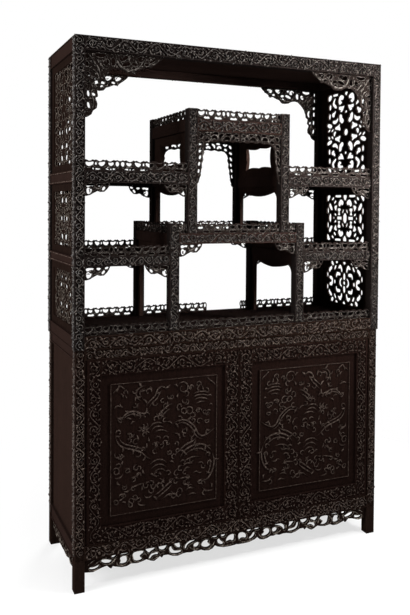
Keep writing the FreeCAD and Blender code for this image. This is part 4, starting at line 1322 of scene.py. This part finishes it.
# Half of the tower's apron, from the middle to a post; its leg runs down the post
TOWER_APRON = Ornament(
    [(0, 0), (172, 0), (172, -194), (165, -184), (161, -170), (156, -158), (158, -146), (152, -132), (153, -118),
     (147, -104), (149, -90), (143, -76), (146, -64), (140, -50), (130, -40), (116, -36), (100, -38), (84, -33),
     (66, -37), (48, -33), (30, -37), (14, -33), (0, -36)],
    [(4, [(10, -9), (22, -14), (28, -24)]), (2.8, [(8, -25), (16, -27)]), (0, [(34, -6), (58, -6), (48, -14)]),
     (4.4, [(42, -25), (54, -20), (62, -26)]), (4, [(70, -8), (80, -14), (82, -24)]), (3, [(90, -6), (108, -6)]),
     (4.4, [(94, -26), (104, -18), (114, -24)]), (0, [(120, -6), (146, -6), (136, -16), (126, -15)]),
     (4, [(128, -28), (140, -32)]), (4.4, [(152, -12), (160, -24)]), (4, [(152, -40), (164, -48)]),
     (4, [(156, -62), (163, -76)]), (3.6, [(157, -88), (162, -100)]), (3.4, [(161, -112), (165, -124)]),
     (3, [(164, -138), (166, -150)])],
    [(2.0, [(2, -20), (16, -20), (30, -8), (36, -20), (34, -32)]), (2.0, [(64, -18), (72, -26), (76, -33)]),
     (2.0, [(84, -8), (92, -16), (88, -28)]), (2.0, [(118, -12), (118, -26), (124, -34)]),
     (2.0, [(148, -34), (150, -56), (148, -72), (153, -86), (151, -104), (157, -122), (157, -146), (164, -168)])])

# Half of a skirt, from its middle to a leg, hanging from zero
SKIRT = Ornament(
    [(0, 0), (580, 0), (580, -58), (563, -61), (548, -63), (532, -57), (517, -51), (499, -47), (490, -58), (484, -63),
     (478, -54), (469, -58), (446, -66), (427, -66), (412, -58), (388, -62), (369, -58), (354, -53), (338, -63),
     (326, -67), (316, -61), (304, -51), (296, -59), (290, -50), (273, -51), (254, -61), (235, -65), (215, -59),
     (200, -58), (183, -61), (169, -56), (158, -60), (144, -58), (131, -65), (113, -68), (98, -63), (88, -51),
     (77, -59), (54, -67), (31, -68), (8, -67), (0, -65)],
    [(0, [(10, -15), (30, -17), (40, -30), (42, -44), (32, -40), (22, -38), (13, -47), (9, -32)]),
     (0, [(76, -24), (70, -27), (65, -37), (54, -46), (57, -53), (69, -47), (77, -36)]),
     (0, [(42, -5), (64, -5), (59, -15), (52, -17)]), (0, [(71, -5), (105, -5), (86, -15)]),
     (0, [(142, -38), (138, -24), (126, -18), (114, -22), (119, -30), (114, -39), (106, -44), (115, -51), (131, -49)]),
     (3.4, [(205, -38), (201, -24), (188, -13), (165, -6)]),
     (0, [(173, -27), (161, -21), (153, -24), (154, -36), (161, -41), (171, -38)]),
     (4.6, [(263, -18), (262, -31), (253, -44), (237, -48), (223, -46)]),
     (0, [(249, -5), (227, -5), (229, -15), (224, -29), (234, -27), (242, -17)]),
     (0, [(308, -5), (276, -5), (281, -16), (290, -26), (305, -18)]),
     (0, [(358, -5), (322, -5), (325, -14), (338, -20), (343, -27), (352, -16)]),
     (3.8, [(342, -52), (335, -39), (322, -34), (311, -38)]),
     (0, [(405, -19), (399, -12), (369, -12), (365, -21), (373, -26), (381, -34), (375, -43), (369, -48), (388, -52),
          (400, -45), (402, -31)]),
     (0, [(452, -25), (442, -20), (429, -21), (426, -48), (442, -51), (452, -47), (447, -37)]),
     (0, [(452, -6), (419, -4), (422, -10), (446, -11)]), (0, [(482, -8), (465, -5), (469, -12), (478, -17)]),
     (0, [(522, -19), (504, -19), (485, -28), (472, -38), (488, -36), (508, -34)]),
     (0, [(562, -41), (550, -45), (535, -41), (527, -37), (532, -47), (546, -51), (558, -48)])],
    [(2.6, [(8, -56), (32, -60), (58, -60), (74, -52)]), (2.6, [(88, -22), (98, -46), (114, -60), (136, -56)]),
     (2.6, [(150, -48), (166, -50), (184, -42), (192, -28)]), (2.4, [(104, -12), (122, -10), (150, -14)]),
     (2.6, [(212, -50), (236, -57), (258, -52), (272, -38)]), (2.4, [(208, -10), (214, -30), (208, -46)]),
     (2.6, [(284, -40), (298, -38), (308, -48), (326, -58), (340, -58)]), (2.4, [(316, -10), (318, -24), (334, -30)]),
     (2.6, [(352, -44), (358, -28), (362, -14)]), (2.6, [(412, -14), (418, -34), (414, -50), (398, -56)]),
     (2.6, [(426, -58), (446, -58), (462, -50), (464, -32)]), (2.4, [(460, -18), (472, -26), (484, -38), (494, -42)]),
     (2.6, [(492, -10), (512, -12), (532, -22), (550, -36)]), (2.6, [(520, -44), (534, -54), (552, -57), (570, -52)]),
     (2.4, [(540, -10), (556, -18), (570, -32)])])


def inside(loop: list[Point], point: Point) -> bool:
    """Whether a point lies inside a closed outline."""
    u, v = point
    found = False
    for (u1, v1), (u2, v2) in zip(loop, loop[1:] + loop[:1]):
        if (v1 > v) != (v2 > v) and u < (u2 - u1) * (v - v1) / (v2 - v1) + u1:
            found = not found
    return found


@dataclass
class CornerPieces:
    """Pierced corner pieces under the top rail and the shelves, and the tower's pierced aprons."""

    work: PiercedWork = PiercedWork(5.0, 0.9, 1.3, 1.5, 1.8, 0.8)
    leaf: float = 13.0
    leaf_width: float = 2.0
    clear: float = 6.0
    bracket_size: Point = (92.0, 46.0)
    apron_seed: int = 11
    foot_slice: float = 0.5 * MM

    def leaves(self, drawn: Ornament, seed: int) -> Strokes:
        """Fill the solid parts of an ornament with small leaves.

        Args:
            drawn: The ornament.
            seed: The seed of the carver's unevenness.

        Returns:
            The leaves, whose middle lines end within a leaf's width of its edges.
        """
        holes = [opening(half, points) for half, points in drawn.openings]
        lines = [flowing(points, half, 3) for half, points in drawn.lines]
        taken = lines + [Stroke(tuple(hole), (0.0,) * len(hole)) for hole in holes]
        corners = np.array(drawn.outline)
        low, high = corners.min(0), corners.max(0)
        found = scatter(taken, (float(low[0]), float(low[1])), (float(high[0]), float(high[1])), self.clear,
                        self.leaf, self.leaf_width, seed)
        room = swollen(drawn.outline, self.leaf_width)
        return [stroke for stroke in found if all(inside(room, point) for point in stroke.points)]

    def piece(self, name: str, drawn: Ornament, seed: int) -> bpy.types.Object:
        """Pierce and carve one piece, lying on its face."""
        return drawn.cut(name, self.work, self.leaves(drawn, seed))

    def corner_pieces(self, node: str, name: str) -> None:
        """Set a corner piece in the place of each solid of one node."""
        parts = []
        for solid in islands(node):
            low, high = Vector(solid.min(0)), Vector(solid.max(0))
            size = (high - low) / MM
            # The piece's upright edge is where it hangs lowest
            foot = solid[solid[:, 2] < low.z + self.foot_slice][:, 0].mean()
            on_left = foot < (low.x + high.x) / 2
            drawn = TOP_CORNER
            if node == "shelf_spandrels":
                drawn = BRACKET.scaled(size.x / self.bracket_size[0], size.z / self.bracket_size[1])
            made = self.piece("corner", drawn.scaled(1.0 if on_left else -1.0), len(parts))
            corner = Vector((low.x if on_left else high.x, (low.y + high.y) / 2, high.z))
            parts.append(set_on(made, Face(corner, Side.FRONT)))
        dress(joined(name, parts), "carcass", PIERCED, (node,))

    def build(self) -> None:
        """Set every corner piece and both of the tower's aprons in place."""
        self.corner_pieces("top_spandrels", "top_corner_pieces")
        self.corner_pieces("shelf_spandrels", "shelf_brackets")
        reach, drop = TOWER_APRON.outline[2]
        parts = []
        for low, high in boxes_of("tower_aprons"):
            size = (high - low) / MM
            for hand in (-1.0, 1.0):
                drawn = TOWER_APRON.scaled(hand * size.x / 2 / reach, size.z / -drop)
                made = self.piece("tower_apron", drawn, self.apron_seed)
                parts.append(set_on(made, Face(Vector((0, (low.y + high.y) / 2, high.z)), Side.FRONT)))
        dress(joined("tower_pierced_aprons", parts), "carcass", PIERCED, ("tower_aprons",))


@dataclass
class Skirts:
    """The pierced skirts under the cupboard: stout interlocking scrolls with a ridge along each."""

    work: PiercedWork = PiercedWork(7.0, 1.0, 2.0, 2.0, 2.6, 1.3)
    drop: float = 68.0
    stops: tuple[float, ...] = (213.0, 182.0, 148.0)
    stop_drop: float = 56.0
    stop_clear: float = 4.0

    def build(self) -> None:
        """Hang the front and side skirts in the place of their solids."""
        for node, name in (("front_apron", "front_skirt"), ("side_aprons", "side_skirts")):
            parts = []
            for low, high in boxes_of(node):
                middle = (low + high) / 2
                middle.z = high.z
                size = (high - low) / MM
                long = max(size.x, size.y) / 2
                side = Side.FRONT if node == "front_apron" else (Side.LEFT if low.x < 0 else Side.RIGHT)
                drawn = SKIRT if node == "front_apron" else self.short(long)
                full = drawn.outline[1][0]
                for hand in (-1.0, 1.0):
                    made = drawn.scaled(hand * long / full, size.z / self.drop).cut("skirt", self.work, [])
                    parts.append(set_on(made, Face(middle, side)))
            dress(joined(name, parts), "carcass", FRETTED, (node,))

    def short(self, long: float) -> Ornament:
        """The middle part of the skirt, cut off at a solid place near a length."""
        stop = min(self.stops, key=lambda place: abs(place - long))
        edge = [point for point in SKIRT.outline[2:] if point[0] < stop]
        within, lines = ([(half, points) for half, points in drawn if max(points)[0] < stop - self.stop_clear]
                         for drawn in (SKIRT.openings, SKIRT.lines))
        return Ornament([(0, 0), (stop, 0), (stop, -self.stop_drop), *edge], within, lines)


# Lines of the left door's panel, from its middle: half widths and points
DOOR_LINES: list[Opening] = [
    (3.4, [(-161, 233), (-171, 222), (-179, 210), (-203, 195)]),
    (3.2, [(-174, 224), (-159, 216), (-147, 204)]), (3.2, [(-150, 189), (-143, 175)]),
    (3.4, [(-63, 216), (-95, 210), (-109, 192), (-103, 172), (-89, 159)]),
    (3.2, [(-71, 207), (-92, 198), (-95, 186), (-86, 172)]),
    (3.6, [(-74, 137), (-63, 154), (-39, 175), (-30, 195), (-16, 206), (-1, 200), (5, 188)]),
    (3.2, [(-65, 132), (-51, 148), (-30, 167), (-20, 186), (-10, 192)]),
    (3.2, [(171, 231), (165, 222), (189, 201), (211, 188)]), (3.2, [(139, 204), (124, 186), (136, 172)]),
    (3.2, [(107, 166), (124, 173), (154, 173), (171, 165)]),
    (3.2, [(103, 153), (124, 162), (154, 161), (175, 152)]),
    (3.2, [(107, 141), (127, 151), (154, 148), (171, 139)]), (3.2, [(116, 130), (136, 137), (157, 134)]),
    (3.2, [(165, 155), (175, 159), (181, 152)]), (3.2, [(171, 119), (178, 126), (185, 119)]),
    (3.2, [(160, 99), (171, 104), (178, 97)]), (3.2, [(-191, 143), (-177, 153), (-163, 146)]),
    (3.8, [(-168, 84), (-159, 108), (-139, 125), (-115, 128), (-95, 120), (-74, 116), (-58, 126)]),
    (3.2, [(-161, 94), (-147, 112), (-121, 119), (-98, 110), (-71, 106)]),
    (3.4, [(-30, 90), (-22, 108), (-7, 122), (13, 137), (34, 140)]),
    (3.2, [(-22, 83), (-11, 101), (5, 116), (25, 126)]), (3.2, [(-74, 55), (-86, 70)]),
    (3.2, [(-74, 55), (-91, 55)]), (3.2, [(-74, 55), (-87, 40)]), (3.2, [(-74, 55), (-70, 37)]),
    (3.2, [(-74, 55), (-57, 44)]), (3.2, [(-74, 55), (-57, 64)]), (3.2, [(-74, 55), (-71, 74)]),
    (3.2, [(-60, 61), (-45, 76), (-22, 78), (-4, 69)]), (3.2, [(-54, 48), (-39, 63), (-19, 64), (-1, 56)]),
    (3.2, [(-45, 39), (-27, 50), (-4, 48), (13, 37)]), (3.2, [(2, 78), (19, 76), (29, 64)]),
    (3.2, [(-39, 20), (-30, 28), (-19, 25), (-22, 13)]), (3.2, [(-10, 14), (-1, 26), (11, 22), (12, 11)]),
    (3.8, [(22, 61), (43, 74), (66, 78), (89, 70), (113, 49), (127, 23), (142, 11), (162, 14), (183, 26), (200, 34)]),
    (3.2, [(31, 51), (49, 64), (67, 68), (85, 60), (106, 40), (120, 14), (141, 0), (165, 4)]),
    (3.2, [(28, 34), (49, 29), (57, 14), (51, 2)]), (3.2, [(145, 61), (165, 67), (174, 58)]),
    (3.6, [(-185, 55), (-179, 32), (-165, 11), (-141, -1), (-115, -9), (-89, -21), (-68, -41), (-48, -53)]),
    (3.2, [(-172, 51), (-167, 33), (-153, 18), (-130, 8), (-103, -1), (-77, -15), (-60, -34)]),
    (3.2, [(-63, -74), (-39, -57), (-10, -57), (11, -74)]),
    (3.2, [(-57, -91), (-36, -74), (-10, -74), (8, -91)]),
    (3.2, [(-45, -104), (-27, -90), (-7, -92), (5, -105)]),
    (3.8, [(57, -62), (69, -41), (89, -27), (119, -18), (148, -21), (171, -36), (183, -53)]),
    (3.2, [(66, -68), (84, -46), (113, -34), (142, -37), (165, -52), (178, -71)]),
    (3.2, [(69, -81), (86, -68), (113, -62), (139, -68)]), (3.2, [(65, -94), (85, -82), (108, -88)]),
    (3.2, [(69, -110), (84, -98), (101, -104)]), (3.2, [(124, -91), (141, -85), (151, -97)]),
    (3.8, [(183, -53), (192, -79), (190, -109), (177, -138), (160, -153), (139, -147)]),
    (3.2, [(172, -74), (178, -97), (171, -123), (157, -137)]),
    (3.4, [(37, -50), (54, -33), (78, -15), (107, -4), (124, 11)]), (3.2, [(11, -46), (17, -39), (25, -46)]),
    (3.2, [(-156, -85), (-162, -97), (-177, -102), (-188, -97)]),
    (3.2, [(-127, -115), (-109, -103), (-86, -91)]),
    (3.2, [(-136, -155), (-121, -141), (-92, -133), (-74, -132)]),
    (3.4, [(-45, -185), (-22, -173), (2, -155), (25, -138), (40, -126)]),
    (3.2, [(-39, -199), (-10, -180), (13, -164), (34, -145)]),
    (3.2, [(-77, -173), (-71, -184), (-57, -185), (-42, -176)]),
    (3.2, [(-16, -205), (8, -188), (31, -185), (49, -196), (57, -208)]),
    (3.2, [(107, -123), (122, -117), (133, -124), (151, -122)]), (3.2, [(49, -138), (78, -133), (107, -141)]),
    (3.2, [(142, -176), (157, -191), (171, -196), (198, -193)]),
    (3.2, [(-174, -185), (-161, -177), (-147, -170)]), (3.2, [(78, -185), (95, -173), (116, -180)]),
    (3.2, [(86, -202), (107, -195), (124, -202)]), (3.2, [(-103, -196), (-92, -208), (-68, -211)]),
    (3.2, [(-121, -179), (-109, -185), (-95, -182)]),
]
# Small volutes of the same panel: middles and radii
DOOR_CURLS: list[tuple[Point, float]] = [
    ((67, 195), 20.5), ((92, 108), 14.6), ((-182, -77), 12.9), ((-182, -186), 8.8), ((-130, -202), 9.4)]


@dataclass
class Doors:
    """The carving on both doors: vines round the frames, and flowers, plumes and curls on the panels.

    Next to the pivots the vine is pared down, from the first rise to the second between the two distances.
    """

    vine: VineCarving
    hinge_round: float = 9.0 * MM
    pared: tuple[float, float] = (13.8 * MM, 20.0 * MM)
    pared_rise: tuple[float, float] = (0.25 * MM, 6.0 * MM)
    field_bead: float = 6.0
    bead_half: float = 1.8
    bead_rise: float = 1.4
    band: float = 31.0
    ground: float = 3.0
    proud: float = 0.8
    stem: float = 3.4
    stout: float = 1.15
    margin: float = 4.0
    leaf: float = 20.0
    sprout_gap: float = 44.0
    sprout_long: float = 26.0
    sprout_half: float = 4.6
    blade_long: float = 28.0
    blade_half: float = 4.8
    blade_bend: Point = (70.0, 170.0)
    blade_seed: int = 7
    curl_half: float = 3.6
    curl_sweep: float = -430.0
    bud: float = 9.5
    bud_sweep: float = 250.0
    bud_turn: float = 137.5
    clear: float = 13.0

    def design(self, half_u: float, half_v: float) -> Strokes:
        """Draw the left door's panel about its middle; the right one is its mirror image.

        Args:
            half_u: Half the ground's width.
            half_v: Half the ground's height.

        Returns:
            The strokes, with small leaves on the free ground.
        """
        strokes = [flowing(points, half * self.stout, 3, 0.5) for half, points in DOOR_LINES]
        strokes += [curl(middle, radius, 200, self.curl_sweep, self.curl_half, hook=0.3, step=40)
                    for middle, radius in DOOR_CURLS]
        limit_u, limit_v = half_u - self.margin, half_v - self.margin
        kept = [Stroke(tuple((max(-limit_u, min(limit_u, u)), max(-limit_v, min(limit_v, v)))
                             for u, v in stroke.points), stroke.widths) for stroke in strokes]
        for at, stem in enumerate(list(kept)):
            if stem.widths[len(stem.widths) // 2] >= self.stem * self.stout:
                kept += sprouting(stem, self.sprout_gap, self.sprout_long, self.sprout_half, at)
        small = scatter(kept, (-limit_u + self.leaf, -limit_v + self.leaf), (limit_u - self.leaf, limit_v - self.leaf),
                        self.clear, self.blade_long, self.blade_half, self.blade_seed, self.blade_bend)
        # Most of the free ground holds hooked buds, turned all ways, and the rest single leaves
        for at, blade in enumerate(small):
            way = 1.0 if at % 2 else -1.0
            size = self.bud * (0.8 + 0.15 * (at % 4))
            kept.append(blade if at % 4 == 0 else curl(blade.points[0], size, self.bud_turn * at, way * self.bud_sweep,
                                                       self.curl_half, hook=0.45, step=42))
        return kept

    def panel(self, half_u: float, half_v: float, hand: float) -> bpy.types.Object:
        """Carve one panel's raised field about its middle."""
        rise = self.ground + self.proud
        made = carve("door_flowers", mapped(self.design(half_u, half_v), along=hand), rise, self.stem)
        rim = box_loop(half_u + self.field_bead / 2, half_v + self.field_bead / 2)
        edges = [line(start, end, self.bead_half) for start, end in zip(rim, rim[1:] + rim[:1])]
        bead = carve("field_bead", edges, self.bead_rise, self.bead_half)
        bead.data.transform(Matrix.Translation((0, 0, self.ground * MM)))
        return joined("door_flowers", [made, bead])

    def clear_pivot(self, vines: bpy.types.Object, side: str) -> None:
        """Pare the vine down next to the pivot, where it turns in beside the post, and keep it on the door.

        Args:
            vines: The carving of the door's frame.
            side: left or right.
        """
        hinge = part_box(f"{side}_door_hinge_stile")
        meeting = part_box(f"{side}_door_meeting_stile")
        outer = max(abs(corner.x) for corner in hinge)
        inner = min(abs(corner.x) for corner in meeting)
        hand = math.copysign(1.0, hinge[0].x)
        keep_on(vines, *spread((hand * inner, hinge[0].y, hinge[0].z), (hand * outer, hinge[1].y, hinge[1].z)))
        places = points_of(vines)
        rise = np.interp(outer - self.hinge_round - hand * places[:, 0], self.pared, self.pared_rise)
        places[:, 1] = np.maximum(places[:, 1], hinge[0].y - rise)
        move_points(vines, places)

    def build(self) -> None:
        """Carve both doors, each on its own body."""
        for side, hand in (("left", 1.0), ("right", -1.0)):
            strips = []
            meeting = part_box(f"{side}_door_meeting_stile")
            strips.append(self.vine.strip(*meeting, Side.FRONT, True))
            low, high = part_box(f"{side}_door_hinge_stile")
            if side == "left":
                low.x += self.hinge_round
            else:
                high.x -= self.hinge_round
            strips.append(self.vine.strip(low, high, Side.FRONT, True))
            stiles = sorted((meeting[0].x, meeting[1].x, low.x, high.x))
            rails = boxes_of(f"{side}_door_rails")
            for start, end in rails:
                box = spread((stiles[1], start.y, start.z), (stiles[2], end.y, end.z))
                strips.append(self.vine.strip(*box, Side.FRONT))
            vines = joined(f"{side}_door_frame_carving", strips)
            self.clear_pivot(vines, side)
            dress(vines, f"{side}_door", DOOR)
            low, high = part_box(f"{side}_door_panel")
            lower, upper = sorted(rails, key=lambda rail: rail[0].z)
            half_u = (stiles[2] - stiles[1]) / 2 / MM - self.band - self.field_bead
            half_v = (upper[0].z - lower[1].z) / 2 / MM - self.band - self.field_bead
            middle = (low + high) / 2
            middle.y = low.y + self.ground * MM
            made = set_on(self.panel(half_u, half_v, hand), Face(middle, Side.FRONT))
            made.name = f"{side}_door_flowers"
            dress(made, f"{side}_door", DOOR)


@dataclass(frozen=True)
class Lamp:
    """One square studio lamp: its place, width and aim in metres, its power in watts, its beam in degrees."""

    name: str
    place: tuple[float, float, float]
    wide: float
    power: float
    aim: tuple[float, float, float] = (0.0, 0.0, 0.95)
    beam: float = 180.0

    def hang(self) -> None:
        """Add the lamp to the scene and turn it to its aim."""
        lamp = bpy.data.lights.new(self.name, "AREA")
        lamp.shape = "SQUARE"
        lamp.size = self.wide
        lamp.energy = self.power
        lamp.spread = math.radians(self.beam)
        stand = bpy.data.objects.new(self.name, lamp)
        bpy.context.collection.objects.link(stand)
        stand.location = self.place
        stand.rotation_euler = (Vector(self.aim) - Vector(self.place)).to_track_quat("-Z", "Y").to_euler()


def seen_rays(tree: bpy.types.NodeTree) -> bpy.types.NodeSocket:
    """One for rays from the camera and through gloss or glass, and zero for light on the cabinet."""
    ray = add_node(tree, "ShaderNodeLightPath")
    seen = ray.outputs["Is Camera Ray"]
    for other in ("Is Glossy Ray", "Is Transmission Ray"):
        seen = combined(tree, "MAXIMUM", seen, ray.outputs[other])
    return seen


@dataclass
class Studio:
    """The camera at the photograph's place, the pale floor and the soft lights."""

    camera_place: tuple[float, float, float] = (-1.1907, -2.6355, 1.3300)
    yaw: float = -0.409
    pitch: float = -0.024
    roll: float = 0.007
    focal_pixels: float = 727.3
    centre_pixels: tuple[float, float] = (205.14, 222.74)
    picture: tuple[int, int] = (410, 615)
    shadow_near: float = 0.7
    shadow_far: float = 1.6
    near_white: float = 0.7
    floor_wide: float = 60.0
    room_light: float = 0.1

    def build(self) -> None:
        """Make the camera, the floor, the world and the lights."""
        self.add_camera()
        self.add_floor()
        self.add_world()
        self.add_lights()

    def add_camera(self) -> None:
        """Stand the camera where the photograph was taken."""
        lens = bpy.data.cameras.new("camera")
        tall = max(self.picture)
        lens.sensor_width = 36.0
        lens.lens = self.focal_pixels * lens.sensor_width / tall
        lens.shift_x = (self.picture[0] / 2 - self.centre_pixels[0]) / tall
        lens.shift_y = (self.centre_pixels[1] - self.picture[1] / 2) / tall
        lens.clip_end = self.floor_wide
        stand = bpy.data.objects.new("camera", lens)
        bpy.context.collection.objects.link(stand)
        turn = Matrix.Rotation(self.yaw, 4, "Z") @ Matrix.Rotation(math.pi / 2 + self.pitch, 4, "X")
        stand.matrix_world = (Matrix.Translation(self.camera_place) @ turn
                              @ Matrix.Rotation(self.roll, 4, "Z"))
        bpy.context.scene.camera = stand

    def add_floor(self) -> None:
        """Lay a wide pale floor that keeps the cabinet's shadow."""
        bpy.ops.object.select_all(action="DESELECT")
        bpy.ops.mesh.primitive_plane_add(size=self.floor_wide, location=(0, 0, 0))
        floor = bpy.context.view_layer.objects.active
        floor.name = "floor"
        paint = bpy.data.materials.new("pale_floor_paint")
        paint.use_nodes = True
        tree = paint.node_tree
        tree.nodes.clear()
        # The shadow is kept round the cabinet and fades into plain white farther off
        place = add_node(tree, "ShaderNodeTexCoord")
        away = add_node(tree, "ShaderNodeVectorMath", {"operation": "LENGTH"}, {0: place.outputs["Object"]})
        far = add_node(tree, "ShaderNodeMapRange", {"interpolation_type": "SMOOTHSTEP"}, {
            "Value": away.outputs["Value"], "From Min": self.shadow_near, "From Max": self.shadow_far,
            "To Min": self.near_white, "To Max": 1.0})
        part = combined(tree, "MULTIPLY", seen_rays(tree), far.outputs["Result"])
        matt = add_node(tree, "ShaderNodeBsdfDiffuse", {}, {"Color": linear("#f4f4f4")})
        white = add_node(tree, "ShaderNodeEmission", {}, {"Color": (1, 1, 1, 1), "Strength": 1.0})
        mixed = add_node(tree, "ShaderNodeMixShader", {}, {
            0: part, 1: matt.outputs["BSDF"], 2: white.outputs["Emission"]})
        add_node(tree, "ShaderNodeOutputMaterial", {}, {"Surface": mixed.outputs["Shader"]})
        floor.data.materials.append(paint)

    def add_world(self) -> None:
        """Set a soft room light, seen as plain white behind the cabinet."""
        world = bpy.data.worlds.new("studio")
        bpy.context.scene.world = world
        world.use_nodes = True
        tree = world.node_tree
        tree.nodes.clear()
        room = add_node(tree, "ShaderNodeBackground", {}, {"Color": (1, 1, 1, 1), "Strength": self.room_light})
        white = add_node(tree, "ShaderNodeBackground", {}, {"Color": (1, 1, 1, 1), "Strength": 1.0})
        mixed = add_node(tree, "ShaderNodeMixShader", {}, {
            0: seen_rays(tree), 1: room.outputs["Background"], 2: white.outputs["Background"]})
        add_node(tree, "ShaderNodeOutputWorld", {}, {"Surface": mixed.outputs["Shader"]})

    def add_lights(self) -> None:
        """Hang the studio's lamps: a small key light, and soft ones all round and at the right end."""
        for lamp in (
                Lamp("key_light", (1.9, -1.7, 2.7), 0.4, 72.0),
                Lamp("side_light", (-4.2, -0.5, 2.4), 1.5, 230.0),
                Lamp("back_light", (1.6, 3.4, 2.4), 1.5, 110.0),
                Lamp("top_light", (0.2, -1.2, 4.6), 2.4, 110.0),
                Lamp("right_light", (1.75, -1.5, 1.75), 0.6, 26.0, (0.66, -0.2, 1.5), 48.0)):
            lamp.hang()


def main() -> None:
    """Dress the cabinet, piece by piece, and set up the studio."""
    logging.basicConfig(level=logging.INFO, format="%(name)s: %(message)s")
    bpy.context.scene.view_settings.view_transform = "Standard"
    Solids().dress()
    vine = VineCarving()
    Framing(vine).build()
    Doors(vine).build()
    vine.remove_drawings()
    SideMouldings().build()
    Galleries().build()
    Frets().build()
    CornerPieces().build()
    Skirts().build()
    Studio().build()


if __name__ == "__main__":
    main()
